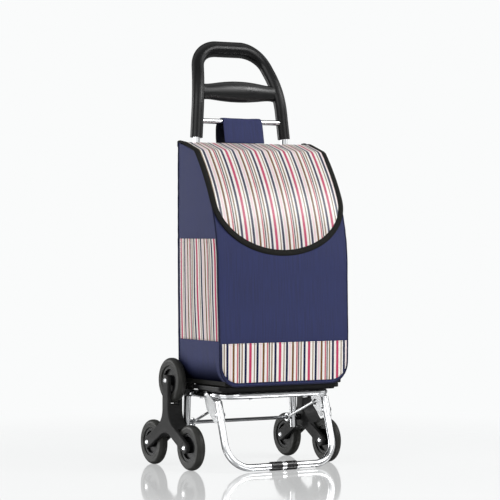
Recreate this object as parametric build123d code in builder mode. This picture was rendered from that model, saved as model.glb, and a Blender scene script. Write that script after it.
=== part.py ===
# Shopping trolley on six wheels: a folding tube frame with a moulded handle, two three-armed
# wheel sets that climb stairs, and a cloth bag with a flap.
# Millimetres. +X is to the right seen from the front, +Y is to the back and +Z is up.
# The origin is on the floor, under the middle of the box that holds the whole trolley.
from build123d import *
import os
from math import atan2, cos, radians, sin

# Wheels
WHEEL_DIAMETER = 100.0
TYRE_WIDTH = 20.0
TYRE_SHOULDER = 8.5
TYRE_HEEL = 2.5
TYRE_SIDE_GAP = 1.0
RIM_DIAMETER = 62.0
RIM_WIDTH = 15.0
RIM_WALL = 6.0
CORE_WEB = 5.0
HUB_DIAMETER = 24.0
HUB_SIDE_PLAY = 0.5

# Three-armed wheel carriers
TRACK = 355.0
ARM_RADIUS = 95.0
ARM_WIDTH = 26.0
ARM_ANGLES = (90.0, 210.0, 330.0)
CARRIER_PLATE = 8.0
CARRIER_EDGE = 2.5
CROTCH_RADIUS = 42.0
WEB_WALL = 3.0
WEB_REACH = 44.0
CARRIER_BOSS_DIAMETER = 25.0
NUT_POCKET_DIAMETER = 18.0
PIN_DIAMETER = 8.0
PIN_HEAD_DIAMETER = 11.0
PIN_HEAD_RISE = 2.0

# Axle
AXLE_DIAMETER = 8.0
AXLE_STUB = 7.0
NUT_DIAMETER = 15.0
NUT_THICKNESS = 2.0
SPACER_DIAMETER = 14.0

# Tubes of the frame
TUBE_DIAMETER = 16.0
TUBE_WALL = 1.2
UPRIGHT_DROP = 22.5
UPRIGHT_INSERT = 26.0
HANDLE_HALF_WIDTH = 115.5
SHEET = 1.6
SHEET_GAP = 0.4

# Handle
HANDLE_TOP_HEIGHT = 934.5
HANDLE_BEND_DROP = 96.5
HANDLE_FOOT_DROP = 203.5
HANDLE_BEND_LEAN = 6.5
HANDLE_TOP_LEAN = 59.0
HANDLE_BEND_HALF_WIDTH = 106.0
HANDLE_TOP_HALF_WIDTH = 79.0
HANDLE_BEND_RADIUS = 200.0
HANDLE_CORNER_RADIUS = 62.0
HANDLE_CORNER_SECTIONS = 5
HANDLE_LEG_DIAMETER = 28.0
HANDLE_TOP_DIAMETER = 36.0
CROSS_GRIP_DROP = 100.5
CROSS_GRIP_LEAN = 12.0
CROSS_GRIP_ARCH = 2.0
CROSS_GRIP_TALL = 47.5
CROSS_GRIP_END_TALL = 20.0
CROSS_GRIP_FLARE = 30.0
CROSS_GRIP_DEEP = 32.0
CROSS_GRIP_END_DEEP = 18.0
CROSS_GRIP_SECTIONS = 13
HANGER_DROP = 166.5
HANGER_DIAMETER = 12.0
HANGER_SEAT = 5.0
BAR_BEVEL = 0.8

# Folding platform, its hinge and its tray
PLATFORM_HEIGHT = 165.0
PLATFORM_HALF_WIDTH = 138.5
PLATFORM_REACH = 155.0
PLATFORM_CORNER = 36.0
PLATFORM_TAIL = 10.0
HINGE_REACH = 28.0
HINGE_EAR = 7.5
RIVET_DIAMETER = 6.0
RIVET_HEAD_DIAMETER = 11.0
RIVET_HEAD_RISE = 2.4
TRAY_STEP_HEIGHT = 4.0
TRAY_STEP_INSET = 9.0
TRAY_PLATE = 9.0
TRAY_HALF_WIDTH = 155.0
TRAY_BACK_REACH = 42.0
TRAY_FRONT_REACH = 180.2
TRAY_FRONT_CORNER = 25.0
TRAY_BACK_CORNER = 10.0
TRAY_EDGE = 2.0
SCREW_DIAMETER = 4.0
SCREW_HEAD_DIAMETER = 8.0
SCREW_HEAD_RISE = 2.0
SCREW_HEAD_TAPER = 20.0
SCREW_BITE = 8.0
SCREW_HALF_SPACING = 70.0
SCREW_BACK_REACH = 60.0

# Front leg, its brackets and the brace links
FOOT_REACH = 177.0
LEG_LEAN = 18.5
LEG_CORNER_RADIUS = 55.0
LEG_TOP_HEIGHT = 151.0
LEG_PIVOT_REACH = 96.0
BRACKET_FOOT_HEIGHT = 110.0
BRACKET_EAR = 7.6
BRACKET_HEEL = 2.0
LEG_RIVET_HEIGHT = 124.0
FOOT_SLEEVE_DIAMETER = 20.0
FOOT_SLEEVE_LENGTH = 27.0
FOOT_FLAT = 0.4
FOOT_CLIP_DIAMETER = 19.0
FOOT_CLIP_LENGTH = 11.0
LINK_DIAMETER = 6.0
LINK_BEND = 4.0
LINK_PIN_REACH = 109.0
LINK_PIN_HEIGHT = 140.0
LINK_PIN_PLAY = 3.9
LINK_SIDE_GAP = 0.6
LINK_EAR = 11.0

# Bag
BAG_BACK_GAP = 3.0
BAG_DEPTH = 169.0
BAG_BOTTOM_HALF_WIDTH = 165.0
BAG_MIDDLE_HALF_WIDTH = 167.0
BAG_TOP_BACK_HALF_WIDTH = 168.0
BAG_TOP_FRONT_HALF_WIDTH = 168.0
BAG_CORNER_RADIUS = 46.0
BAG_HANG_DROP = 49.0
BAG_TOP_FALL = 22.0
BAG_TOP_DEPTH = 73.5
BAG_SHOULDER_HEIGHT = 440.0
BAG_BROW_RADIUS = 14.0
BAG_WALL = 2.5
BAG_TOP_STRIP = 9.0
MOUTH_DROP = 49.0
MOUTH_SIDE_MARGIN = 4.0
FLAP_THICKNESS = 3.0
FLAP_TIP_HEIGHT = 471.0
FLAP_CURVE_RISE = 120.0
BINDING_WIDTH = 14.0
FLAP_OVERHANG = 3.5
BINDING_RISE = 1.0
POCKET_FOOT_HEIGHT = 286.0
POCKET_HEAD_HEIGHT = 506.0
POCKET_THICKNESS = 2.0
POCKET_MARGIN = 4.0
BAND_HEAD_HEIGHT = 280.0
BAND_THICKNESS = 1.2
BAND_MARGIN = 7.0
STRAP_WIDTH = 104.0
STRAP_THICKNESS = 2.0
STRAP_SLACK = 25.0
STRAP_BEND_RADIUS = 14.0
STRAP_SEAM_DROP = 47.0
STRAP_TAIL_DROP = 79.0

# Clearances
RUNNING_FIT = 0.1
SEAT_FIT = 0.05
REST_GAP = 0.5
CLOTH_GAP = 0.4

# Worked out from the sizes above
SIDES = {"left": -1, "right": 1}
TUBE_RADIUS = TUBE_DIAMETER / 2
FRONT_REACH = FOOT_REACH + FOOT_SLEEVE_DIAMETER / 2
REAR_REACH = ARM_RADIUS * cos(radians(30)) + WHEEL_DIAMETER / 2
AXLE_Y = (FRONT_REACH - REAR_REACH) / 2
AXLE_HEIGHT = ARM_RADIUS / 2 + WHEEL_DIAMETER / 2
WHEEL_SPACE = TYRE_WIDTH + 2 * TYRE_SIDE_GAP
CARRIER_WIDTH = WHEEL_SPACE + 2 * CARRIER_PLATE
CARRIER_INNER = TRACK / 2 - CARRIER_WIDTH / 2
HANDLE_BEND_HEIGHT = HANDLE_TOP_HEIGHT - HANDLE_BEND_DROP
HANDLE_FOOT_HEIGHT = HANDLE_TOP_HEIGHT - HANDLE_FOOT_DROP
CROSS_GRIP_HEIGHT = HANDLE_TOP_HEIGHT - CROSS_GRIP_DROP
HANGER_HEIGHT = HANDLE_TOP_HEIGHT - HANGER_DROP
HINGE_Y = AXLE_Y - HINGE_REACH
FOOT_Y = AXLE_Y - FOOT_REACH
FOOT_HEIGHT = FOOT_SLEEVE_DIAMETER / 2 - FOOT_FLAT
LEG_PIVOT_Y = AXLE_Y - LEG_PIVOT_REACH
LINK_PIN_Y = AXLE_Y - LINK_PIN_REACH
CHEEK_INSIDE = TUBE_RADIUS + SHEET_GAP
CHEEK_OUTSIDE = CHEEK_INSIDE + SHEET
LINK_X = PLATFORM_HALF_WIDTH - CHEEK_OUTSIDE - LINK_SIDE_GAP - LINK_DIAMETER / 2
TRAY_HEIGHT = PLATFORM_HEIGHT + TUBE_RADIUS + RUNNING_FIT
BAG_FOOT_HEIGHT = TRAY_HEIGHT + TRAY_STEP_HEIGHT + TRAY_PLATE + REST_GAP
BAG_BACK_Y = AXLE_Y - TUBE_RADIUS - BAG_BACK_GAP
BAG_FRONT_Y = BAG_BACK_Y - BAG_DEPTH
BAG_TOP_FRONT_Y = BAG_BACK_Y - BAG_TOP_DEPTH
BAG_BACK_HEIGHT = HANGER_HEIGHT - BAG_HANG_DROP
BAG_FRONT_HEIGHT = BAG_BACK_HEIGHT - BAG_TOP_FALL
BAG_MIDDLE_HEIGHT = (BAG_FOOT_HEIGHT + BAG_BACK_HEIGHT) / 2
BAG_TOP_SLOPE = BAG_TOP_FALL / BAG_TOP_DEPTH
MOUTH_FRONT_HEIGHT = BAG_FRONT_HEIGHT - MOUTH_DROP
FLAP_CURVE_HEIGHT = FLAP_TIP_HEIGHT + FLAP_CURVE_RISE
FLAP_BACK_Y = BAG_BACK_Y - BAG_TOP_STRIP - REST_GAP

os.makedirs("parts", exist_ok=True)


def keep(piece, name):
    """Label a finished piece and write it out."""
    piece.part.label = name
    export_step(piece.part, f"parts/{name}.step")


def upright_half_width(height):
    """Distance of an upright's centre line from the middle plane, at a height."""
    share = (height - PLATFORM_HEIGHT) / (HANDLE_FOOT_HEIGHT - PLATFORM_HEIGHT)
    return PLATFORM_HALF_WIDTH + share * (HANDLE_HALF_WIDTH - PLATFORM_HALF_WIDTH)


def leg_point(height, forward=0.0):
    """Y and Z of a point beside the leaning front leg, level with a height on its centre line."""
    lean = radians(LEG_LEAN)
    along = (height - FOOT_HEIGHT) / cos(lean)
    y = FOOT_Y + along * sin(lean) - forward * cos(lean)
    z = FOOT_HEIGHT + along * cos(lean) + forward * sin(lean)
    return y, z


def bag_top_height(y):
    """Height of the bag's sloping top edge at a place between its back and its front."""
    return BAG_BACK_HEIGHT - (BAG_BACK_Y - y) * BAG_TOP_SLOPE


def crossways(x, y, z):
    """A plane through a point whose own x runs along X and whose own y runs up."""
    return Plane(origin=(x, y, z), x_dir=(1, 0, 0), z_dir=(0, -1, 0))


def drill(x, y, z, diameter, length):
    """Cut a hole along X through the piece being built."""
    with Locations((x, y, z)):
        Cylinder(diameter / 2, length, rotation=(0, 90, 0), mode=Mode.SUBTRACT)


def rivet(x, y, z, grip, shank, head, rise):
    """Add a rivet along X with a bevelled head at each end."""
    half = grip / 2
    with BuildSketch(crossways(x, y, z)) as section:
        with BuildLine():
            Polyline(
                (-half - rise, 0),
                (-half - rise, head / 2 - rise),
                (-half, head / 2),
                (-half, shank / 2),
                (half, shank / 2),
                (half, head / 2),
                (half + rise, head / 2 - rise),
                (half + rise, 0),
                close=True,
            )
        make_face()
    revolve(section.sketch, axis=Axis((x, y, z), (1, 0, 0)))


def bent_tube(path):
    """Add a frame tube along a path."""
    with BuildSketch(Plane(origin=path @ 0, z_dir=path % 0)) as ring:
        Circle(TUBE_RADIUS)
        Circle(TUBE_RADIUS - TUBE_WALL, mode=Mode.SUBTRACT)
    sweep(ring.sketch, path=path)


def carrier_outline():
    """Draw the three joined arms of a wheel carrier about its axle."""
    for angle in ARM_ANGLES:
        tip = (ARM_RADIUS * cos(radians(angle)), ARM_RADIUS * sin(radians(angle)))
        SlotCenterPoint((tip[0] / 2, tip[1] / 2), tip, ARM_WIDTH)


# Uprights
for side, sign in SIDES.items():
    with BuildPart() as upright:
        foot_height = AXLE_HEIGHT - UPRIGHT_DROP
        head_height = HANDLE_FOOT_HEIGHT + UPRIGHT_INSERT
        with BuildLine() as run:
            Line(
                (sign * upright_half_width(foot_height), AXLE_Y, foot_height),
                (sign * upright_half_width(head_height), AXLE_Y, head_height),
            )
        bent_tube(run.line)
        axle_x = sign * upright_half_width(AXLE_HEIGHT)
        drill(axle_x, AXLE_Y, AXLE_HEIGHT, AXLE_DIAMETER + 2 * RUNNING_FIT, 2 * TUBE_DIAMETER)
        hinge_x = sign * PLATFORM_HALF_WIDTH
        drill(hinge_x, AXLE_Y, PLATFORM_HEIGHT, RIVET_DIAMETER + 2 * SEAT_FIT, 2 * TUBE_DIAMETER)
    keep(upright, f"upright_{side}")

# Handle loop, thicker along its top, with a socket for each upright and for the hanger bar
with BuildPart() as handle_loop:
    with BuildLine() as half_loop:
        FilletPolyline(
            (HANDLE_HALF_WIDTH, AXLE_Y, HANDLE_FOOT_HEIGHT),
            (HANDLE_BEND_HALF_WIDTH, AXLE_Y + HANDLE_BEND_LEAN, HANDLE_BEND_HEIGHT),
            (HANDLE_TOP_HALF_WIDTH, AXLE_Y + HANDLE_TOP_LEAN, HANDLE_TOP_HEIGHT),
            (0, AXLE_Y + HANDLE_TOP_LEAN, HANDLE_TOP_HEIGHT),
            radius=[HANDLE_BEND_RADIUS, HANDLE_CORNER_RADIUS],
        )
    *leg_edges, corner, top_run = half_loop.edges().sort_by(Axis.X, reverse=True)
    leg_run = Wire(leg_edges)
    with BuildSketch(Plane(origin=leg_run @ 0, z_dir=leg_run % 0)):
        Circle(HANDLE_LEG_DIAMETER / 2)
    sweep(path=leg_run)
    for step in range(HANDLE_CORNER_SECTIONS):
        share = step / (HANDLE_CORNER_SECTIONS - 1)
        swell = share**2 * (3 - 2 * share)
        with BuildSketch(Plane(origin=corner @ share, z_dir=corner % share)):
            Circle((HANDLE_LEG_DIAMETER + (HANDLE_TOP_DIAMETER - HANDLE_LEG_DIAMETER) * swell) / 2)
    loft()
    mirror(about=Plane.YZ)
    with BuildSketch(Plane(origin=corner @ 1, z_dir=corner % 1)):
        Circle(HANDLE_TOP_DIAMETER / 2)
    extrude(amount=2 * top_run.length)
    for sign in SIDES.values():
        low = Vector(sign * upright_half_width(PLATFORM_HEIGHT), AXLE_Y, PLATFORM_HEIGHT)
        top_height = HANDLE_FOOT_HEIGHT + UPRIGHT_INSERT + SEAT_FIT
        top = Vector(sign * upright_half_width(top_height), AXLE_Y, top_height)
        with BuildSketch(Plane(origin=top, z_dir=low - top)):
            Circle(TUBE_RADIUS + SEAT_FIT)
        extrude(amount=2 * UPRIGHT_INSERT, mode=Mode.SUBTRACT)
    hanger_share = (HANGER_HEIGHT - HANDLE_FOOT_HEIGHT) / (HANDLE_BEND_HEIGHT - HANDLE_FOOT_HEIGHT)
    hanger_leg = HANDLE_HALF_WIDTH + hanger_share * (HANDLE_BEND_HALF_WIDTH - HANDLE_HALF_WIDTH)
    hanger_length = 2 * (hanger_leg - HANDLE_LEG_DIAMETER / 2 + HANGER_SEAT)
    drill(0, AXLE_Y, HANGER_HEIGHT, HANGER_DIAMETER + 2 * SEAT_FIT, hanger_length + 2 * SEAT_FIT)
keep(handle_loop, "handle_loop")

# Cross grip, swollen in the middle and flared into the loop at its ends
with BuildPart() as cross_grip:
    for step in range(CROSS_GRIP_SECTIONS):
        share = 2 * step / (CROSS_GRIP_SECTIONS - 1) - 1
        swell = 1 - share**2
        flare = CROSS_GRIP_FLARE * share**8
        with BuildSketch(Plane.YZ.offset(share * HANDLE_BEND_HALF_WIDTH)):
            with Locations((AXLE_Y + CROSS_GRIP_LEAN, CROSS_GRIP_HEIGHT + CROSS_GRIP_ARCH * swell)):
                Ellipse(
                    (CROSS_GRIP_END_DEEP + (CROSS_GRIP_DEEP - CROSS_GRIP_END_DEEP) * swell) / 2,
                    (CROSS_GRIP_END_TALL + (CROSS_GRIP_TALL - CROSS_GRIP_END_TALL) * swell + flare) / 2,
                )
    loft()
    add(handle_loop.part, mode=Mode.SUBTRACT)
    middle_piece = cross_grip.solids().sort_by(SortBy.VOLUME)[-1]
    add(middle_piece, mode=Mode.REPLACE)
keep(cross_grip, "cross_grip")

# Hanger bar that carries the bag
with BuildPart() as hanger_bar:
    with Locations((0, AXLE_Y, HANGER_HEIGHT)):
        Cylinder(HANGER_DIAMETER / 2, hanger_length, rotation=(0, 90, 0))
    chamfer(hanger_bar.edges().filter_by(GeomType.CIRCLE), BAR_BEVEL)
keep(hanger_bar, "hanger_bar")

# Axle, the spacers beside the uprights and the push nuts on its ends
axle_half_length = TRACK / 2 + AXLE_STUB
with BuildPart() as axle:
    with Locations((0, AXLE_Y, AXLE_HEIGHT)):
        Cylinder(AXLE_DIAMETER / 2, 2 * axle_half_length, rotation=(0, 90, 0))
    chamfer(axle.edges().filter_by(GeomType.CIRCLE), BAR_BEVEL)
keep(axle, "axle")

with BuildPart() as axle_spacers:
    spacer_start = upright_half_width(AXLE_HEIGHT - SPACER_DIAMETER / 2) + TUBE_RADIUS + REST_GAP
    spacer_length = CARRIER_INNER - REST_GAP - spacer_start
    for sign in SIDES.values():
        spacer_x = sign * (spacer_start + spacer_length / 2)
        with Locations((spacer_x, AXLE_Y, AXLE_HEIGHT)):
            Cylinder(SPACER_DIAMETER / 2, spacer_length, rotation=(0, 90, 0))
        drill(spacer_x, AXLE_Y, AXLE_HEIGHT, AXLE_DIAMETER + 2 * SEAT_FIT, 2 * spacer_length)
keep(axle_spacers, "axle_spacers")

with BuildPart() as push_nuts:
    for sign in SIDES.values():
        nut_x = sign * (TRACK / 2 + REST_GAP + NUT_THICKNESS / 2)
        with Locations((nut_x, AXLE_Y, AXLE_HEIGHT)):
            Cylinder(NUT_DIAMETER / 2, NUT_THICKNESS, rotation=(0, 90, 0))
        drill(nut_x, AXLE_Y, AXLE_HEIGHT, AXLE_DIAMETER + 2 * SEAT_FIT, 2 * NUT_THICKNESS)
keep(push_nuts, "axle_push_nuts")

# Hinge brackets: strips bent round the uprights, with ears for the platform
for side, sign in SIDES.items():
    with BuildPart() as hinge_bracket:
        back_y = AXLE_Y + CHEEK_OUTSIDE
        front_y = HINGE_Y - HINGE_EAR
        with BuildSketch(Plane.XY.offset(PLATFORM_HEIGHT - HINGE_EAR)):
            with Locations((sign * PLATFORM_HALF_WIDTH, (back_y + front_y) / 2)):
                Rectangle(2 * CHEEK_OUTSIDE, back_y - front_y)
            with Locations((sign * PLATFORM_HALF_WIDTH, (back_y + front_y) / 2 - SHEET)):
                Rectangle(2 * CHEEK_INSIDE, back_y - front_y, mode=Mode.SUBTRACT)
        extrude(amount=2 * HINGE_EAR)
        fillet(hinge_bracket.edges().filter_by(Axis.X).group_by(Axis.Y)[0], HINGE_EAR - SHEET)
        for place in (AXLE_Y, HINGE_Y):
            drill(
                sign * PLATFORM_HALF_WIDTH,
                place,
                PLATFORM_HEIGHT,
                RIVET_DIAMETER + 2 * SEAT_FIT,
                4 * CHEEK_OUTSIDE,
            )
    keep(hinge_bracket, f"hinge_bracket_{side}")

with BuildPart() as frame_rivets:
    for sign in SIDES.values():
        for place in (AXLE_Y, HINGE_Y):
            rivet(
                sign * PLATFORM_HALF_WIDTH,
                place,
                PLATFORM_HEIGHT,
                2 * (CHEEK_OUTSIDE + SEAT_FIT),
                RIVET_DIAMETER,
                RIVET_HEAD_DIAMETER,
                RIVET_HEAD_RISE,
            )
keep(frame_rivets, "frame_rivets")

# Platform tube, tray and the screws that hold the tray
platform_front_y = AXLE_Y - PLATFORM_REACH
screw_places = [
    (-SCREW_HALF_SPACING, platform_front_y),
    (SCREW_HALF_SPACING, platform_front_y),
    (-PLATFORM_HALF_WIDTH, AXLE_Y - SCREW_BACK_REACH),
    (PLATFORM_HALF_WIDTH, AXLE_Y - SCREW_BACK_REACH),
]
with BuildPart() as platform_tube:
    with BuildLine() as platform_path:
        FilletPolyline(
            (-PLATFORM_HALF_WIDTH, HINGE_Y + PLATFORM_TAIL, PLATFORM_HEIGHT),
            (-PLATFORM_HALF_WIDTH, platform_front_y, PLATFORM_HEIGHT),
            (PLATFORM_HALF_WIDTH, platform_front_y, PLATFORM_HEIGHT),
            (PLATFORM_HALF_WIDTH, HINGE_Y + PLATFORM_TAIL, PLATFORM_HEIGHT),
            radius=PLATFORM_CORNER,
        )
    bent_tube(platform_path.line)
    for place in (HINGE_Y, LEG_PIVOT_Y):
        drill(
            0,
            place,
            PLATFORM_HEIGHT,
            RIVET_DIAMETER + 2 * RUNNING_FIT,
            2 * (PLATFORM_HALF_WIDTH + TUBE_DIAMETER),
        )
    with Locations([(x, y, PLATFORM_HEIGHT) for x, y in screw_places]):
        Cylinder(SCREW_DIAMETER / 2 + SEAT_FIT, 2 * TUBE_DIAMETER, mode=Mode.SUBTRACT)
keep(platform_tube, "platform_tube")

with BuildPart() as tray:
    tray_front_y = AXLE_Y - TRAY_FRONT_REACH
    tray_back_y = AXLE_Y - TRAY_BACK_REACH
    tray_layers = (
        (TRAY_HEIGHT, TRAY_STEP_HEIGHT, TRAY_STEP_INSET),
        (TRAY_HEIGHT + TRAY_STEP_HEIGHT, TRAY_PLATE, 0.0),
    )
    for foot, height, inset in tray_layers:
        with BuildSketch(Plane.XY.offset(foot)) as tray_outline:
            with Locations((0, (tray_front_y + tray_back_y) / 2)):
                Rectangle(2 * (TRAY_HALF_WIDTH - inset), tray_back_y - tray_front_y - 2 * inset)
            fillet(tray_outline.vertices().group_by(Axis.Y)[-1], TRAY_BACK_CORNER)
            fillet(tray_outline.vertices().group_by(Axis.Y)[0], TRAY_FRONT_CORNER - inset)
        extrude(amount=height)
    fillet(tray.faces().sort_by(Axis.Z)[-1].edges(), TRAY_EDGE)
    with Locations([(x, y, TRAY_HEIGHT) for x, y in screw_places]):
        Cylinder(SCREW_DIAMETER / 2 + SEAT_FIT, 2 * SCREW_BITE, mode=Mode.SUBTRACT)
keep(tray, "platform_tray")

with BuildPart() as tray_screws:
    screw_foot = PLATFORM_HEIGHT - TUBE_RADIUS - RUNNING_FIT
    for x, y in screw_places:
        with BuildSketch(Plane.XY.offset(screw_foot)):
            with Locations((x, y)):
                Circle(SCREW_DIAMETER / 2)
        extrude(amount=TRAY_HEIGHT + SCREW_BITE - SEAT_FIT - screw_foot)
        with BuildSketch(Plane.XY.offset(screw_foot)):
            with Locations((x, y)):
                Circle(SCREW_HEAD_DIAMETER / 2)
        extrude(amount=-SCREW_HEAD_RISE, taper=SCREW_HEAD_TAPER)
keep(tray_screws, "tray_screws")

# Front leg: one bent tube, its two brackets and the rubber sleeves it stands on
leg_top_y, leg_top_z = leg_point(LEG_TOP_HEIGHT)
leg_rivet_y, leg_rivet_z = leg_point(LEG_RIVET_HEIGHT)
with BuildPart() as leg_tube:
    with BuildLine() as leg_path:
        FilletPolyline(
            (-PLATFORM_HALF_WIDTH, leg_top_y, leg_top_z),
            (-PLATFORM_HALF_WIDTH, FOOT_Y, FOOT_HEIGHT),
            (PLATFORM_HALF_WIDTH, FOOT_Y, FOOT_HEIGHT),
            (PLATFORM_HALF_WIDTH, leg_top_y, leg_top_z),
            radius=LEG_CORNER_RADIUS,
        )
    bent_tube(leg_path.line)
    drill(
        0,
        leg_rivet_y,
        leg_rivet_z,
        RIVET_DIAMETER + 2 * SEAT_FIT,
        2 * (PLATFORM_HALF_WIDTH + TUBE_DIAMETER),
    )
keep(leg_tube, "front_leg_tube")

for side, sign in SIDES.items():
    with BuildPart() as leg_bracket:
        bracket_x = sign * PLATFORM_HALF_WIDTH
        for inner_face in (-CHEEK_OUTSIDE, CHEEK_INSIDE):
            with BuildSketch(Plane.YZ.offset(bracket_x + inner_face)):
                with Locations((LEG_PIVOT_Y, PLATFORM_HEIGHT)):
                    Circle(BRACKET_EAR)
                with Locations((LINK_PIN_Y, LINK_PIN_HEIGHT)):
                    Circle(LINK_EAR)
                corners = [
                    leg_point(BRACKET_FOOT_HEIGHT, SHEET - BRACKET_HEEL),
                    leg_point(BRACKET_FOOT_HEIGHT, BRACKET_HEEL - CHEEK_OUTSIDE),
                    leg_point(LEG_TOP_HEIGHT, SHEET - BRACKET_HEEL),
                ]
                with Locations(corners):
                    Circle(BRACKET_HEEL)
                make_hull()
            extrude(amount=SHEET)
        wrap_foot = Vector(bracket_x, *leg_point(BRACKET_FOOT_HEIGHT))
        wrap_head = Vector(bracket_x, *leg_point(LEG_TOP_HEIGHT))
        wrap_run = wrap_head - wrap_foot
        with BuildSketch(Plane(origin=wrap_foot, x_dir=(1, 0, 0), z_dir=wrap_run)) as wrap:
            Circle(CHEEK_OUTSIDE)
            Circle(CHEEK_INSIDE, mode=Mode.SUBTRACT)
            split(bisect_by=Plane.XZ, keep=Keep.TOP)
        extrude(amount=wrap_run.length)
        rivet_hole = RIVET_DIAMETER + 2 * SEAT_FIT
        drill(bracket_x, LEG_PIVOT_Y, PLATFORM_HEIGHT, rivet_hole, 4 * CHEEK_OUTSIDE)
        drill(bracket_x, leg_rivet_y, leg_rivet_z, rivet_hole, 4 * CHEEK_OUTSIDE)
        drill(
            bracket_x - sign * CHEEK_OUTSIDE,
            LINK_PIN_Y,
            LINK_PIN_HEIGHT,
            LINK_DIAMETER + 2 * LINK_PIN_PLAY,
            CHEEK_OUTSIDE,
        )
    keep(leg_bracket, f"leg_bracket_{side}")

with BuildPart() as leg_rivets:
    for sign in SIDES.values():
        for y, z in ((LEG_PIVOT_Y, PLATFORM_HEIGHT), (leg_rivet_y, leg_rivet_z)):
            rivet(
                sign * PLATFORM_HALF_WIDTH,
                y,
                z,
                2 * (CHEEK_OUTSIDE + SEAT_FIT),
                RIVET_DIAMETER,
                RIVET_HEAD_DIAMETER,
                RIVET_HEAD_RISE,
            )
keep(leg_rivets, "leg_rivets")

for side, sign in SIDES.items():
    with BuildPart() as foot_sleeve:
        sleeve_x = sign * (FOOT_CLIP_LENGTH + FOOT_SLEEVE_LENGTH) / 2
        with Locations((sleeve_x, FOOT_Y, FOOT_HEIGHT)):
            Cylinder(FOOT_SLEEVE_DIAMETER / 2, FOOT_SLEEVE_LENGTH, rotation=(0, 90, 0))
        drill(sleeve_x, FOOT_Y, FOOT_HEIGHT, TUBE_DIAMETER + 2 * SEAT_FIT, 2 * FOOT_SLEEVE_LENGTH)
        split(bisect_by=Plane.XY, keep=Keep.TOP)
    keep(foot_sleeve, f"foot_sleeve_{side}")

with BuildPart() as foot_clip:
    with Locations((0, FOOT_Y, FOOT_HEIGHT)):
        Cylinder(FOOT_CLIP_DIAMETER / 2, FOOT_CLIP_LENGTH - 2 * SEAT_FIT, rotation=(0, 90, 0))
    drill(0, FOOT_Y, FOOT_HEIGHT, TUBE_DIAMETER + 2 * SEAT_FIT, 2 * FOOT_CLIP_LENGTH)
keep(foot_clip, "foot_clip")

# Brace links: wires with an eye round the axle and a bent end in the leg bracket
eye_radius = AXLE_DIAMETER / 2 + RUNNING_FIT + LINK_DIAMETER / 2
link_angle = atan2(LINK_PIN_HEIGHT - AXLE_HEIGHT, -LINK_PIN_REACH)
for side, sign in SIDES.items():
    with BuildPart() as link:
        with BuildLine() as link_path:
            FilletPolyline(
                (
                    sign * LINK_X,
                    AXLE_Y + eye_radius * cos(link_angle),
                    AXLE_HEIGHT + eye_radius * sin(link_angle),
                ),
                (sign * LINK_X, LINK_PIN_Y, LINK_PIN_HEIGHT),
                (sign * (PLATFORM_HALF_WIDTH - CHEEK_INSIDE / 2), LINK_PIN_Y, LINK_PIN_HEIGHT),
                radius=LINK_BEND,
            )
        with BuildSketch(Plane(origin=link_path.line @ 0, z_dir=link_path.line % 0)):
            Circle(LINK_DIAMETER / 2)
        sweep()
        with Locations((sign * LINK_X, AXLE_Y, AXLE_HEIGHT)):
            Torus(eye_radius, LINK_DIAMETER / 2, rotation=(0, 90, 0))
        drill(
            sign * LINK_X,
            AXLE_Y,
            AXLE_HEIGHT,
            AXLE_DIAMETER + 2 * RUNNING_FIT,
            2 * LINK_DIAMETER,
        )
    keep(link, f"brace_link_{side}")

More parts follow.
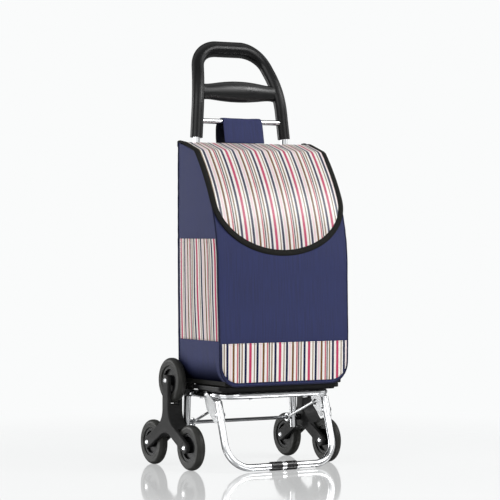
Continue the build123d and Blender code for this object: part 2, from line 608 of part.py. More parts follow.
# Wheel sets: two carrier halves, three pins and three wheels with a core and a tyre
for side, sign in SIDES.items():
    middle = sign * TRACK / 2
    for half_name, outward in (("outer", sign), ("inner", -sign)):
        face_x = middle + outward * CARRIER_WIDTH / 2
        carrier_plane = Plane(
            origin=(face_x, AXLE_Y, AXLE_HEIGHT),
            x_dir=(0, -outward, 0),
            z_dir=(-outward, 0, 0),
        )
        with BuildPart() as carrier:
            with BuildSketch(carrier_plane) as plate:
                carrier_outline()
                fillet(plate.vertices().sort_by_distance((0, 0, 0))[:3], CROTCH_RADIUS)
            extrude(amount=CARRIER_PLATE)
            outer_face = carrier.faces().sort_by(Axis((face_x, 0, 0), (outward, 0, 0)))[-1]
            fillet(outer_face.edges(), CARRIER_EDGE)
            with BuildSketch(carrier_plane.offset(CARRIER_PLATE)) as web:
                carrier_outline()
                fillet(web.vertices().sort_by_distance((0, 0, 0))[:3], CROTCH_RADIUS)
                offset(amount=-WEB_WALL, mode=Mode.SUBTRACT)
                Circle(WEB_REACH, mode=Mode.INTERSECT)
                Circle(CARRIER_BOSS_DIAMETER / 2)
            extrude(amount=WHEEL_SPACE / 2)
            bore = NUT_POCKET_DIAMETER if half_name == "outer" else AXLE_DIAMETER + 2 * RUNNING_FIT
            bore_depth = WHEEL_SPACE if half_name == "outer" else 2 * CARRIER_WIDTH
            drill(middle, AXLE_Y, AXLE_HEIGHT, bore, bore_depth)
            for angle in ARM_ANGLES:
                drill(
                    middle,
                    AXLE_Y + ARM_RADIUS * cos(radians(angle)),
                    AXLE_HEIGHT + ARM_RADIUS * sin(radians(angle)),
                    PIN_DIAMETER + 2 * SEAT_FIT,
                    2 * CARRIER_WIDTH,
                )
        keep(carrier, f"carrier_{half_name}_{side}")

    with BuildPart() as wheel_pins:
        for angle in ARM_ANGLES:
            rivet(
                middle,
                AXLE_Y + ARM_RADIUS * cos(radians(angle)),
                AXLE_HEIGHT + ARM_RADIUS * sin(radians(angle)),
                CARRIER_WIDTH + 2 * SEAT_FIT,
                PIN_DIAMETER,
                PIN_HEAD_DIAMETER,
                PIN_HEAD_RISE,
            )
    keep(wheel_pins, f"wheel_pins_{side}")

    for angle, place in zip(ARM_ANGLES, ("top", "front", "rear")):
        wheel_y = AXLE_Y + ARM_RADIUS * cos(radians(angle))
        wheel_z = AXLE_HEIGHT + ARM_RADIUS * sin(radians(angle))
        wheel_axis = Axis((middle, wheel_y, wheel_z), (1, 0, 0))
        with BuildPart() as core:
            hub_reach = HUB_DIAMETER / 2
            bore_radius = PIN_DIAMETER / 2 + RUNNING_FIT
            rim_radius = RIM_DIAMETER / 2
            with BuildSketch(crossways(middle, wheel_y, wheel_z)):
                with Locations((0, (bore_radius + hub_reach) / 2)):
                    Rectangle(WHEEL_SPACE - 2 * HUB_SIDE_PLAY, hub_reach - bore_radius)
                with Locations((0, (bore_radius + rim_radius) / 2)):
                    Rectangle(CORE_WEB, rim_radius - bore_radius)
                with Locations((0, rim_radius - RIM_WALL / 2)):
                    Rectangle(RIM_WIDTH, RIM_WALL)
            revolve(axis=wheel_axis)
        keep(core, f"wheel_core_{place}_{side}")
        with BuildPart() as tyre:
            tyre_inside = RIM_DIAMETER / 2 + SEAT_FIT
            tyre_outside = WHEEL_DIAMETER / 2
            with BuildSketch(crossways(middle, wheel_y, wheel_z)) as tyre_section:
                with Locations((0, (tyre_inside + tyre_outside) / 2)):
                    Rectangle(TYRE_WIDTH, tyre_outside - tyre_inside)
                fillet(tyre_section.vertices().group_by(Axis.Y)[-1], TYRE_SHOULDER)
                fillet(tyre_section.vertices().group_by(Axis.Y)[0], TYRE_HEEL)
            revolve(axis=wheel_axis)
        keep(tyre, f"tyre_{place}_{side}")


def side_profile(inset):
    """The bag's outline seen from the side, drawn in by a wall."""
    shoulder = (BAG_FRONT_Y + inset, BAG_SHOULDER_HEIGHT)
    brow = (BAG_TOP_FRONT_Y + inset, BAG_FRONT_HEIGHT - inset)
    with BuildSketch(Plane.YZ) as profile:
        with BuildLine():
            TangentArc(shoulder, brow, tangent=(0, 1))
            Polyline(
                brow,
                (BAG_BACK_Y - inset, BAG_BACK_HEIGHT - inset),
                (BAG_BACK_Y - inset, BAG_FOOT_HEIGHT + inset),
                (BAG_FRONT_Y + inset, BAG_FOOT_HEIGHT + inset),
                shoulder,
            )
        make_face()
        fillet(profile.vertices().sort_by_distance(brow)[0], BAG_BROW_RADIUS - inset)
    return profile.sketch


def front_outline(y, inset):
    """The bag's outline across its width at a depth, drawn in by a wall and closed above its top."""
    narrowing = (BAG_TOP_BACK_HALF_WIDTH - BAG_TOP_FRONT_HALF_WIDTH) / BAG_DEPTH
    foot = BAG_FOOT_HEIGHT + inset
    corner = BAG_CORNER_RADIUS - inset
    low = BAG_BOTTOM_HALF_WIDTH - inset
    middle = BAG_MIDDLE_HALF_WIDTH - inset
    high = BAG_TOP_BACK_HALF_WIDTH - (BAG_BACK_Y - y) * narrowing - inset
    over = BAG_BACK_HEIGHT + BAG_CORNER_RADIUS
    with BuildSketch(Plane.XZ.offset(-y)) as outline:
        with BuildLine():
            Line((-low + corner, foot), (low - corner, foot))
            RadiusArc((low - corner, foot), (low, foot + corner), -corner)
            ThreePointArc((low, foot + corner), (middle, BAG_MIDDLE_HEIGHT), (high, BAG_BACK_HEIGHT))
            Polyline((high, BAG_BACK_HEIGHT), (high, over), (-high, over), (-high, BAG_BACK_HEIGHT))
            ThreePointArc((-high, BAG_BACK_HEIGHT), (-middle, BAG_MIDDLE_HEIGHT), (-low, foot + corner))
            RadiusArc((-low, foot + corner), (-low + corner, foot), -corner)
        make_face()
    return outline.sketch


def width_form(inset):
    """A block with the bag's sides and bottom that runs past its front and its back."""
    ends = (BAG_BACK_Y + BAG_CORNER_RADIUS, BAG_FRONT_Y - BAG_CORNER_RADIUS)
    with BuildPart() as form:
        loft([front_outline(y, inset) for y in ends], ruled=True)
    return form.part


def bag_form(inset):
    """The bag's closed form, drawn in by a wall all round."""
    sides = width_form(inset)
    with BuildPart() as form:
        extrude(side_profile(inset), amount=2 * BAG_MIDDLE_HALF_WIDTH, both=True)
        add(sides, mode=Mode.INTERSECT)
    return form.part


# Bag: a hollow cloth box with a slanting open mouth under its flap
bag_outside = bag_form(0.0)
bag_inside = bag_form(BAG_WALL)
with BuildPart() as bag_body:
    add(bag_outside)
    add(bag_inside, mode=Mode.SUBTRACT)
    mouth_back_y = BAG_BACK_Y - BAG_TOP_STRIP
    with BuildSketch(Plane.YZ):
        with BuildLine():
            Polyline(
                (mouth_back_y, BAG_BACK_HEIGHT + BAG_WALL),
                (mouth_back_y, MOUTH_FRONT_HEIGHT),
                (BAG_FRONT_Y, MOUTH_FRONT_HEIGHT),
                (BAG_FRONT_Y, BAG_BACK_HEIGHT + BAG_WALL),
                close=True,
            )
        make_face()
    extrude(amount=BAG_TOP_FRONT_HALF_WIDTH - MOUTH_SIDE_MARGIN, both=True, mode=Mode.SUBTRACT)
keep(bag_body, "bag_body")


def flap_profile(inner, outer):
    """The flap's band seen from the side: along the bag's top and down its front."""
    ends = []
    with BuildSketch(Plane.YZ) as profile:
        with BuildLine():
            for rise in (inner, outer):
                back = (FLAP_BACK_Y, bag_top_height(FLAP_BACK_Y) + rise)
                brow = (BAG_TOP_FRONT_Y - rise, BAG_FRONT_HEIGHT + rise)
                shoulder = (BAG_FRONT_Y - rise, BAG_SHOULDER_HEIGHT)
                Line(back, brow)
                TangentArc(shoulder, brow, tangent=(0, 1))
                ends.append((back, shoulder))
            Line(ends[0][0], ends[1][0])
            Line(ends[0][1], ends[1][1])
        make_face()
        for rise in (inner, outer):
            brow = (BAG_TOP_FRONT_Y - rise, BAG_FRONT_HEIGHT + rise)
            fillet(profile.vertices().sort_by_distance(brow)[0], BAG_BROW_RADIUS + rise)
    return profile.sketch


def flap_cutter(margin):
    """A block with the flap's sides and rounded foot, drawn in by a margin."""
    width = BAG_MIDDLE_HALF_WIDTH - margin
    drop = FLAP_CURVE_HEIGHT - FLAP_TIP_HEIGHT - margin
    with BuildSketch(Plane.XZ) as outline:
        with Locations((0, FLAP_CURVE_HEIGHT)):
            Ellipse(width, drop)
            Rectangle(2 * width, BAG_BACK_HEIGHT, align=(Align.CENTER, Align.MIN))
    sides = width_form(margin)
    with BuildPart() as form:
        extrude(outline.sketch, amount=2 * BAG_DEPTH, both=True)
        add(sides, mode=Mode.INTERSECT)
    return form.part


# Flap: a striped panel in a black binding along its sides and its rounded front
flap_outside = flap_cutter(-FLAP_OVERHANG)
flap_inside = flap_cutter(BINDING_WIDTH - FLAP_OVERHANG)
with BuildPart() as flap_panel:
    panel_profile = flap_profile(REST_GAP, REST_GAP + FLAP_THICKNESS)
    extrude(panel_profile, amount=2 * BAG_MIDDLE_HALF_WIDTH, both=True)
    add(flap_inside, mode=Mode.INTERSECT)
keep(flap_panel, "flap_panel")

with BuildPart() as flap_binding:
    binding_profile = flap_profile(REST_GAP, REST_GAP + FLAP_THICKNESS + BINDING_RISE)
    extrude(binding_profile, amount=2 * BAG_MIDDLE_HALF_WIDTH, both=True)
    add(flap_outside, mode=Mode.INTERSECT)
    add(flap_inside, mode=Mode.SUBTRACT)
keep(flap_binding, "flap_binding")

# Side pockets, which lie flat on the bag's bulging sides
pocket_inside = width_form(-CLOTH_GAP)
pocket_outside = width_form(-CLOTH_GAP - POCKET_THICKNESS)
for side, sign in SIDES.items():
    with BuildPart() as pocket:
        with Locations((sign * BAG_MIDDLE_HALF_WIDTH, BAG_BACK_Y - BAG_DEPTH / 2, POCKET_FOOT_HEIGHT)):
            Box(
                BAG_CORNER_RADIUS,
                BAG_DEPTH - 2 * POCKET_MARGIN,
                POCKET_HEAD_HEIGHT - POCKET_FOOT_HEIGHT,
                align=(Align.CENTER, Align.CENTER, Align.MIN),
            )
        add(pocket_outside, mode=Mode.INTERSECT)
        add(pocket_inside, mode=Mode.SUBTRACT)
    keep(pocket, f"side_pocket_{side}")

# Striped band along the foot of the front
band_sides = width_form(BAND_MARGIN)
with BuildPart() as front_band:
    with BuildSketch(Plane.XZ.offset(-BAG_FRONT_Y + CLOTH_GAP)):
        Rectangle(
            4 * BAG_MIDDLE_HALF_WIDTH,
            BAND_HEAD_HEIGHT,
            align=(Align.CENTER, Align.MIN),
        )
    extrude(amount=BAND_THICKNESS)
    add(band_sides, mode=Mode.INTERSECT)
keep(front_band, "front_band")

# Strap: a wide loop over the hanger bar, sewn to the bag's top edge and down its back
with BuildPart() as strap:
    strap_half = STRAP_THICKNESS / 2
    over_bar = HANGER_DIAMETER / 2 + CLOTH_GAP + strap_half
    front_y = BAG_BACK_Y - BAG_TOP_STRIP + STRAP_THICKNESS
    tail_y = BAG_BACK_Y + CLOTH_GAP + strap_half
    with BuildSketch(Plane.YZ):
        with BuildLine():
            FilletPolyline(
                (front_y, BAG_BACK_HEIGHT + CLOTH_GAP),
                (AXLE_Y - over_bar, HANGER_HEIGHT + over_bar),
                (AXLE_Y + over_bar, HANGER_HEIGHT + over_bar),
                (AXLE_Y + STRAP_SLACK, BAG_BACK_HEIGHT),
                (tail_y, BAG_BACK_HEIGHT - STRAP_SEAM_DROP),
                (tail_y, BAG_BACK_HEIGHT - STRAP_TAIL_DROP),
                radius=[over_bar - strap_half, over_bar - strap_half, STRAP_BEND_RADIUS, STRAP_BEND_RADIUS],
            )
        trace(line_width=STRAP_THICKNESS)
    extrude(amount=STRAP_WIDTH / 2, both=True)
keep(strap, "hanger_strap")
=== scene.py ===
"""Dress the packed shopping trolley: a sewn bag, its striped flap, tape, stitches, finishes and stage."""

from math import atan2, cos, hypot, pi, radians, sin, sqrt, tan

import bmesh
import bpy
from bpy.props import FloatProperty, FloatVectorProperty, IntProperty, PointerProperty
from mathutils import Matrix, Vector
from mathutils.noise import noise


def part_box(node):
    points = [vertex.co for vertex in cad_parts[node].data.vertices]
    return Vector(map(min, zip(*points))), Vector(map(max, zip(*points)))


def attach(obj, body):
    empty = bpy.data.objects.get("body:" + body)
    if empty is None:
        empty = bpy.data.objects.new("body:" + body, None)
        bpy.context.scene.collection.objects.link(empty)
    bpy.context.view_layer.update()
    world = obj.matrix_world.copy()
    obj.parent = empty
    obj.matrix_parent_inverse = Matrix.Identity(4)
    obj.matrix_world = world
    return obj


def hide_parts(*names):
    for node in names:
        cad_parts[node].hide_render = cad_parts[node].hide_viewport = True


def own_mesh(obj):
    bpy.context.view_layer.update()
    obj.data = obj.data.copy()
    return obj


bl_info = {
    "name": "Shopping Trolley Dresser",
    "version": (1, 0, 0),
    "blender": (4, 5, 0),
    "location": "View3D > Sidebar > Trolley",
    "description": "Dresses the packed trolley with cloth, tape, finishes and a plain stage",
    "category": "Object",
}

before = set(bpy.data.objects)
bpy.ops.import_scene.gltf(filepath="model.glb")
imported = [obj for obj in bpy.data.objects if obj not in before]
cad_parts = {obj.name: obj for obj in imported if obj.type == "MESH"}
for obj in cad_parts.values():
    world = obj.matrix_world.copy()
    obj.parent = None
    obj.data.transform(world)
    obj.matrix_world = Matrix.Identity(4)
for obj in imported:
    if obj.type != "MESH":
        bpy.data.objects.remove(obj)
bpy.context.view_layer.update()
BAG_LOW, BAG_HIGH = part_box("bag_body")
FLAP_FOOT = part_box("flap_binding")[0].z
POCKET_LOW, POCKET_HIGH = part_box("side_pocket_left")
BAND_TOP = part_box("front_band")[1].z
STRAP_LOW, STRAP_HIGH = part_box("hanger_strap")
BAR_LOW, BAR_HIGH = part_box("hanger_bar")
CLOTH_MAP = "cloth"


def tone(red, green, blue):
    """A colour written as it looks on screen, from 0 to 255, as linear light."""
    parts = (part / 255 for part in (red, green, blue))
    return tuple(part / 12.92 if part < 0.04045 else ((part + 0.055) / 1.055) ** 2.4 for part in parts)


def length(name, text, value):
    """A property for a length in metres."""
    return FloatProperty(name=name, description=text, default=value, unit="LENGTH", precision=4)


def colour(name, text, *values):
    """A property for a colour."""
    return FloatVectorProperty(
        name=name, description=text, default=tone(*values), subtype="COLOR", min=0, max=1
    )


def portion(name, text, value):
    """A property for a share from 0 to 1."""
    return FloatProperty(name=name, description=text, default=value, min=0, max=1)


class BagSizes(bpy.types.PropertyGroup):
    """Sizes of the sewn bag."""

    foot_half: length("Foot half width", "Half the bag's width just above its rounded foot", 0.1662)
    middle_half: length("Middle half width", "Half the bag's width at half its height", 0.1682)
    top_half: length("Top half width", "Half the bag's width at its top", 0.168)
    corner: length("Corner radius", "Radius of the rounded lower corners", 0.046)
    top_fall: length("Top fall", "How much lower the top is in front than behind", 0.022)
    top_depth: length("Top depth", "Depth of the top from the back to the brow", 0.0735)
    shoulder: length("Shoulder height", "Height where the front starts to lean back", 0.440)
    brow: length("Brow radius", "Radius of the bend between the front and the top", 0.014)
    mouth: length("Mouth height", "Height of the mouth's front edge", 0.650)
    sag: length("Sag", "How far the filled lower front sags forward", 0.0045)
    full: length("Full height", "Height up to which the front sags fully", 0.270)
    wall: length("Cloth thickness", "Thickness of the lined cloth", 0.0018)
    swell: length("Swell", "How far the panels stand out between their seams", 0.0035)
    piping: length("Piping radius", "Radius of the piping along the seams", 0.0019)


class FlapSizes(bpy.types.PropertyGroup):
    """Sizes of the flap and the tape round it."""

    curve_rise: length("Curve rise", "Height of the rounded foot of the flap", 0.1235)
    overhang: length("Overhang", "How far the flap stands out past the bag's sides", 0.0025)
    puff: length("Puff", "How far the flap stands off the top of the bag", 0.0030)
    lift: length("Lift", "Gap between the bag and the flap", 0.0006)
    thickness: length("Thickness", "Thickness of the flap's cloth", 0.0022)
    tape: length("Tape width", "Width of the black tape that binds the edge", 0.0118)
    tape_rise: length("Tape rise", "Thickness of one layer of the tape", 0.0009)


class TrimSizes(bpy.types.PropertyGroup):
    """Sizes of the pockets, the band, the strap and the stitches."""

    gape: length("Pocket gape", "How far the pocket's upper edge stands off the bag", 0.0030)
    hem: length("Hem width", "Distance from an edge to its row of stitches", 0.0080)
    cloth: length("Trim thickness", "Thickness of the pockets and the band", 0.0011)
    strap: length("Strap thickness", "Thickness of the strap", 0.0020)
    stitch: length("Stitch length", "Length of one stitch", 0.0032)
    stitch_step: length("Stitch step", "Distance from one stitch to the next", 0.0046)
    thread: length("Thread", "Thickness of the sewing thread", 0.0005)


class StripeLooks(bpy.types.PropertyGroup):
    """Colours and places of the stripes."""

    repeat: length("Repeat", "Width of one repeat of the stripes", 0.0756)
    flap_start: length("Flap start", "Place of a crimson stripe on the flap", -0.0175)
    band_start: length("Band start", "Place of a crimson stripe on the front band", -0.0158)
    pocket_start: length("Pocket start", "Place of a crimson stripe on the pockets", 0.1430)
    ground: colour("Ground", "Pale ground of the striped cloth", 248, 244, 239)
    blush: colour("Blush", "Pale pink between the stripes", 243, 218, 221)
    crimson: colour("Crimson", "Widest stripe", 200, 64, 104)
    navy: colour("Navy stripe", "Dark blue stripes", 30, 34, 72)
    brown: colour("Brown", "Brown stripe", 118, 80, 42)
    tan: colour("Tan", "Thin tan stripes", 146, 122, 96)
    red: colour("Red", "Thin red stripe", 200, 106, 118)
    grey: colour("Grey", "Grey stripe", 64, 68, 68)


class ClothLooks(bpy.types.PropertyGroup):
    """Colours of the plain cloths."""

    navy: colour("Navy", "Colour of the bag's cloth", 35, 42, 87)
    piping: colour("Piping", "Colour of the piping along the seams", 24, 28, 58)
    thread: colour("Thread", "Colour of the thread on the pockets", 190, 178, 166)
    tape: colour("Tape", "Colour of the tape round the flap", 20, 20, 18)
    # Painted shade: height over which the foot of the bag's sides turns dark.
    shaded: length("Shaded foot", "Height over which the foot of the sides grows dark", 0.066)
    weave: length("Weave", "Distance between the threads of the cloth", 0.0011)


class HardLooks(bpy.types.PropertyGroup):
    """Colours of the hard parts."""

    chrome: colour("Chrome", "Plated tubes", 232, 233, 235)
    steel: colour("Steel", "Plated sheet and wire", 226, 227, 228)
    rod: colour("Rod", "Plain axle rod", 120, 121, 123)
    grip: colour("Grip", "Moulded handle", 13, 13, 14)
    plastic: colour("Plastic", "Moulded cores and tray", 14, 14, 15)
    carrier: colour("Carrier", "Moulded carriers of the wheel sets", 41, 41, 41)
    tyre: colour("Tyre", "Tyres", 45, 45, 43)
    rubber: colour("Rubber", "Foot sleeves", 16, 16, 17)


class StageLooks(bpy.types.PropertyGroup):
    """Floor, light and camera."""

    floor: colour("Floor", "Colour of the floor and the backdrop", 250, 251, 251)
    mirror: portion("Mirror", "Share of the floor that reflects", 0.44)
    glow: portion("Glow", "Share of the floor that is plain white", 0.80)
    bounce: portion("Bounce", "Share of light the floor throws back", 0.45)
    # Painted shade on the floor near the trolley.
    near_shade: portion("Near shade", "Lightness of the near floor", 0.95)
    near: length("Near floor", "Where the floor starts to fade into the backdrop", 0.45)
    far: length("Far floor", "Where the floor has faded into the backdrop", 1.50)
    ambient: portion("Ambient", "Strength of the even light", 0.40)
    lens: FloatProperty(name="Lens", description="Focal length in millimetres", default=160.5)
    place: FloatVectorProperty(
        name="Camera place",
        description="Where the camera stands",
        default=(-2.6315, -4.2501, 0.52715),
        unit="LENGTH",
    )
    turn: FloatProperty(name="Turn", description="Azimuth of the camera", default=radians(-31.84), subtype="ANGLE")
    tilt: FloatProperty(name="Tilt", description="Tilt of the camera", default=radians(-0.54), subtype="ANGLE")
    settling: IntProperty(name="Settling steps", description="Steps in which the cloth settles", default=18, min=1)


GROUPS = {
    "trolley_bag": BagSizes,
    "trolley_flap": FlapSizes,
    "trolley_trim": TrimSizes,
    "trolley_stripes": StripeLooks,
    "trolley_cloth": ClothLooks,
    "trolley_hard": HardLooks,
    "trolley_stage": StageLooks,
}


class Wire:
    """A shader socket that can be added and multiplied like a number."""

    def __init__(self, finish, socket):
        self.finish = finish
        self.socket = socket

    def _math(self, operation, *values):
        return self.finish.node("ShaderNodeMath", {"operation": operation}, dict(enumerate(values)))

    def __add__(self, other):
        return self._math("ADD", self, other)

    def __sub__(self, other):
        return self._math("SUBTRACT", self, other)

    def __rsub__(self, other):
        return self._math("SUBTRACT", other, self)

    def __mul__(self, other):
        return self._math("MULTIPLY", self, other)

    def __truediv__(self, other):
        return self._math("DIVIDE", self, other)

    def __pow__(self, other):
        return self._math("POWER", self, other)

    __radd__ = __add__
    __rmul__ = __mul__

    def sine(self):
        """The sine of an angle in radians."""
        return self._math("SINE", self)

    def fraction(self):
        """What lies past the whole number."""
        return self._math("FRACT", self)

    def larger(self, other):
        """The larger of two numbers."""
        return self._math("MAXIMUM", self, other)

    def smooth(self, low, high):
        """0 below low, 1 above high and an even step between."""
        settings = {"interpolation_type": "SMOOTHSTEP"}
        return self.finish.node("ShaderNodeMapRange", settings, {"Value": self, "From Min": low, "From Max": high})

    def within(self, low, rise, fall, high):
        """1 from rise to fall, and 0 below low and above high."""
        return self.smooth(low, rise) * (1 - self.smooth(fall, high))


class Finish:
    """A material or a world whose nodes are added one at a time."""

    def __init__(self, name, block=None):
        self.block = block or bpy.data.materials.new(name)
        self.block.use_nodes = True
        self.tree = self.block.node_tree
        self.tree.nodes.clear()

    def node(self, kind, settings=None, sockets=None, out=0):
        """Add a node, set it, then fill its sockets with values or links."""
        made = self.tree.nodes.new(kind)
        for name, value in (settings or {}).items():
            if name == "stops":
                self.set_stops(made.color_ramp, value)
            else:
                setattr(made, name, value)
        for name, value in (sockets or {}).items():
            if isinstance(value, Wire):
                self.tree.links.new(value.socket, made.inputs[name])
            else:
                made.inputs[name].default_value = value
        return Wire(self, made.outputs[out]) if made.outputs else None

    @staticmethod
    def set_stops(ramp, stops):
        """Give a ramp flat bands, each from its own place on."""
        ramp.interpolation = "CONSTANT"
        while len(ramp.elements) < len(stops):
            ramp.elements.new(1)
        for element, (place, shade) in zip(ramp.elements, stops):
            element.position = place
            element.color = (*shade, 1)

    def mix(self, first, second, share):
        """Blend two colours by a share."""
        ends = [end if isinstance(end, Wire) else (*end, 1) for end in (first, second)]
        return self.node("ShaderNodeMix", {"data_type": "RGBA"}, {0: share, 6: ends[0], 7: ends[1]}, out=2)

    def parts(self, vector):
        """The three numbers of a vector."""
        first = self.node("ShaderNodeSeparateXYZ", sockets={0: vector})
        return [Wire(self, output) for output in first.socket.node.outputs]

    def place(self):
        """The point on the piece, in metres."""
        return self.node("ShaderNodeTexCoord", out="Object")

    def cloth(self):
        """The point on the flat cloth, in metres."""
        return self.node("ShaderNodeUVMap", {"uv_map": CLOTH_MAP})

    def stretch(self, vector, *scale):
        """A vector with each of its numbers multiplied."""
        return self.node("ShaderNodeVectorMath", {"operation": "MULTIPLY"}, {0: vector, 1: scale})

    def grain(self, vector, scale, detail):
        """Soft noise from 0 to 1."""
        return self.node("ShaderNodeTexNoise", sockets={"Vector": vector, "Scale": scale, "Detail": detail})

    def bump(self, height, distance, strength):
        """A normal that follows a height."""
        return self.node("ShaderNodeBump", sockets={"Strength": strength, "Distance": distance, "Height": height})

    def shader(self, **sockets):
        """One shader; underscores stand for the spaces in its socket names."""
        named = {name.replace("_", " "): value for name, value in sockets.items()}
        if not isinstance(named["Base Color"], Wire):
            named["Base Color"] = (*named["Base Color"], 1)
        return self.node("ShaderNodeBsdfPrincipled", sockets=named)

    def blended(self, first, second, share):
        """Two shaders by a share."""
        return self.node("ShaderNodeMixShader", sockets={0: share, 1: first, 2: second})

    def done(self, shader):
        """Finish a material with its shader."""
        self.node("ShaderNodeOutputMaterial", sockets={"Surface": shader})
        return self.block

    def surface(self, **sockets):
        """Finish a material with one shader."""
        return self.done(self.shader(**sockets))


STRIPE_PARTS = 323
STRIPES = (
    (0, "crimson"),
    (13.5, "ground"),
    (38, "tan"),
    (50, "ground"),
    (65, "navy"),
    (89, "ground"),
    (99, "blush"),
    (122, "ground"),
    (132, "brown"),
    (153, "ground"),
    (179, "red"),
    (195, "ground"),
    (200, "grey"),
    (212, "ground"),
    (227, "tan"),
    (241, "ground"),
    (261, "navy"),
    (285, "ground"),
    (309.5, "crimson"),
)


DULL_SHADE = (0.12, 0.11, 0.11)
# Painted shade in the gaps between the threads of the striped cloth.
WEAVE_GAP_PAINTED_SHADE = (0.10, 0.09, 0.09)
# Painted shade at the bag's foot: where it starts to rise towards the back, how far it rises, and how far from the
# front foot it fades in.
SHADE_BACK_FROM = -0.04
SHADE_BACK_RISE = 0.018
SHADE_FRONT = (0.002, 0.014)
# Painted shadow on the strap's back run: the length over which it blends in.
PAINTED_SHADOW_BLEND = 0.004


def scaled(shade, factor):
    """A colour made darker or lighter."""
    return tuple(part * factor for part in shade)


def weave_height(across, along, pitch):
    """Raised crossings of a plain weave, from 0 to 1."""
    turn = 2 * pi / pitch
    return (across * turn).sine() * (along * turn).sine() * 0.5 + 0.5


def navy_cloth(name="navy_cloth", painted_shadow_from=None):
    """Plain woven polyester with faint lengthwise slubs, with painted shadow past a given distance along the cloth
    and painted shade low on the bag's sides.
    """
    looks = bpy.context.scene.trolley_cloth
    finish = Finish(name)
    flat = finish.cloth()
    across, along, _ = finish.parts(flat)
    weave = weave_height(across, along, looks.weave)
    slubs = finish.grain(finish.stretch(flat, 420, 14, 1), 1.0, 4)
    patches = finish.grain(finish.place(), 9.0, 2)
    # Slubs and patches vary the cloth's tone; the weave term is painted shade, lighter on the weave's raised
    # crossings.
    light = slubs.smooth(0.25, 0.75) * 0.62 + weave * 0.22 + patches * 0.16
    shade = finish.mix(scaled(looks.navy, 0.66), scaled(looks.navy, 1.34), light)
    # Painted shade low on the bag's sides and back, reaching higher towards the back.
    _, y, z = finish.parts(finish.place())
    height = z - y.smooth(SHADE_BACK_FROM, BAG_HIGH.y) * SHADE_BACK_RISE
    lit = height.smooth(BAG_LOW.z + 0.1 * looks.shaded, BAG_LOW.z + looks.shaded)
    shaded = y.smooth(*(BAG_LOW.y + reach for reach in SHADE_FRONT)) * (1 - lit)
    # Painted shadow: from the given distance along the cloth on, the strap's back run turns dark.
    if painted_shadow_from:
        inside = along.smooth(painted_shadow_from - PAINTED_SHADOW_BLEND, painted_shadow_from + PAINTED_SHADOW_BLEND)
        shade = finish.mix(shade, scaled(looks.navy, 0.12), inside)
    cloth = finish.shader(
        Base_Color=shade,
        Roughness=0.62 + slubs * 0.18,
        Normal=finish.bump(weave + slubs * 0.6, 0.00025, 0.55),
        Specular_IOR_Level=0.38,
        Sheen_Weight=0.08,
        Sheen_Roughness=0.45,
    )
    # Painted shade: a plain dark shader without specular that the cloth turns into at its foot.
    painted_shade = finish.shader(Base_Color=scaled(looks.navy, 0.06), Roughness=0.9, Specular_IOR_Level=0.0)
    return finish.done(finish.blended(cloth, painted_shade, shaded))


def striped_cloth(name, start, fade, coat=0.0):
    """Printed stripes on a pale woven ground."""
    stripes = bpy.context.scene.trolley_stripes
    cloth = bpy.context.scene.trolley_cloth
    finish = Finish(name)
    flat = finish.cloth()
    across, along, _ = finish.parts(flat)
    wander = finish.grain(finish.stretch(flat, 26, 9, 1), 1.0, 2) - 0.5
    share = ((across + wander * 0.0008 - start) / stripes.repeat).fraction()
    stops = [(place / STRIPE_PARTS, getattr(stripes, shade)) for place, shade in STRIPES]
    print_shade = finish.node("ShaderNodeValToRGB", {"stops": stops}, {"Fac": share})
    weave = weave_height(across, along, cloth.weave)
    threads = finish.grain(finish.stretch(flat, 700, 60, 1), 1.0, 3)
    dull = finish.mix(print_shade, DULL_SHADE, threads * fade)
    # Painted shade in the weave's low gaps.
    shade = finish.mix(dull, WEAVE_GAP_PAINTED_SHADE, (1 - weave) * 0.05)
    return finish.surface(
        Base_Color=shade,
        Roughness=0.66 + threads * 0.16,
        Normal=finish.bump(weave + threads * 0.5, 0.00022, 0.5),
        Specular_IOR_Level=0.10,
        Sheen_Weight=0.04,
        Coat_Weight=coat,
        Coat_Roughness=0.30,
    )


def ribbed_tape(name, shade, pitch, sheen):
    """Ribbed woven tape."""
    finish = Finish(name)
    place = finish.place()
    x, y, z = finish.parts(place)
    ribs = ((x * 0.9 + y * 0.7 + z) * (2 * pi / pitch)).sine() * 0.5 + 0.5
    lint = finish.grain(place, 900, 3)
    # Lint varies the tone; the rib term is painted shade, lighter on the crests of the ribs.
    tinted = finish.mix(scaled(shade, 0.55), scaled(shade, 1.5), ribs * 0.5 + lint * 0.5)
    return finish.surface(
        Base_Color=tinted,
        Roughness=0.55 + lint * 0.25,
        Normal=finish.bump(ribs + lint * 0.6, 0.0003, 0.7),
        Specular_IOR_Level=0.16,
        Sheen_Weight=sheen,
    )


def plated(name, shade, rough, brushed):
    """Bright plating with faint smears, and brush marks where it is asked for."""
    finish = Finish(name)
    place = finish.place()
    smears = finish.grain(finish.stretch(place, 1, 1, 0.35), 34, 5)
    marks = finish.grain(finish.stretch(place, 60, 60, 900), 1.0, 2)
    pits = finish.grain(place, 420, 2)
    tinted = finish.mix(scaled(shade, 0.86), shade, smears.smooth(0.3, 0.7))
    return finish.surface(
        Base_Color=tinted,
        Metallic=1.0,
        Roughness=rough + smears * 0.07 + marks * brushed,
        Normal=finish.bump(marks * brushed * 4 + pits * 0.2 + smears, 0.00006, 0.35),
    )


def moulded(name, shade, rough, grains, depth, shine):
    """Moulded plastic or rubber with a fine spark grain and rubbed patches."""
    finish = Finish(name)
    place = finish.place()
    pebble = finish.grain(place, grains, 2)
    rubbed = finish.grain(place, 24, 4).smooth(0.42, 0.72)
    dust = finish.grain(place, 140, 4).smooth(0.55, 0.8)
    pale = tuple(part * 1.7 + 0.003 for part in shade)
    worn = finish.mix(shade, pale, rubbed * 0.35 + dust * 0.20)
    return finish.surface(
        Base_Color=worn,
        Roughness=rough + pebble * 0.10 - rubbed * 0.09 + dust * 0.08,
        Normal=finish.bump(pebble, depth, 0.5),
        Specular_IOR_Level=shine,
    )


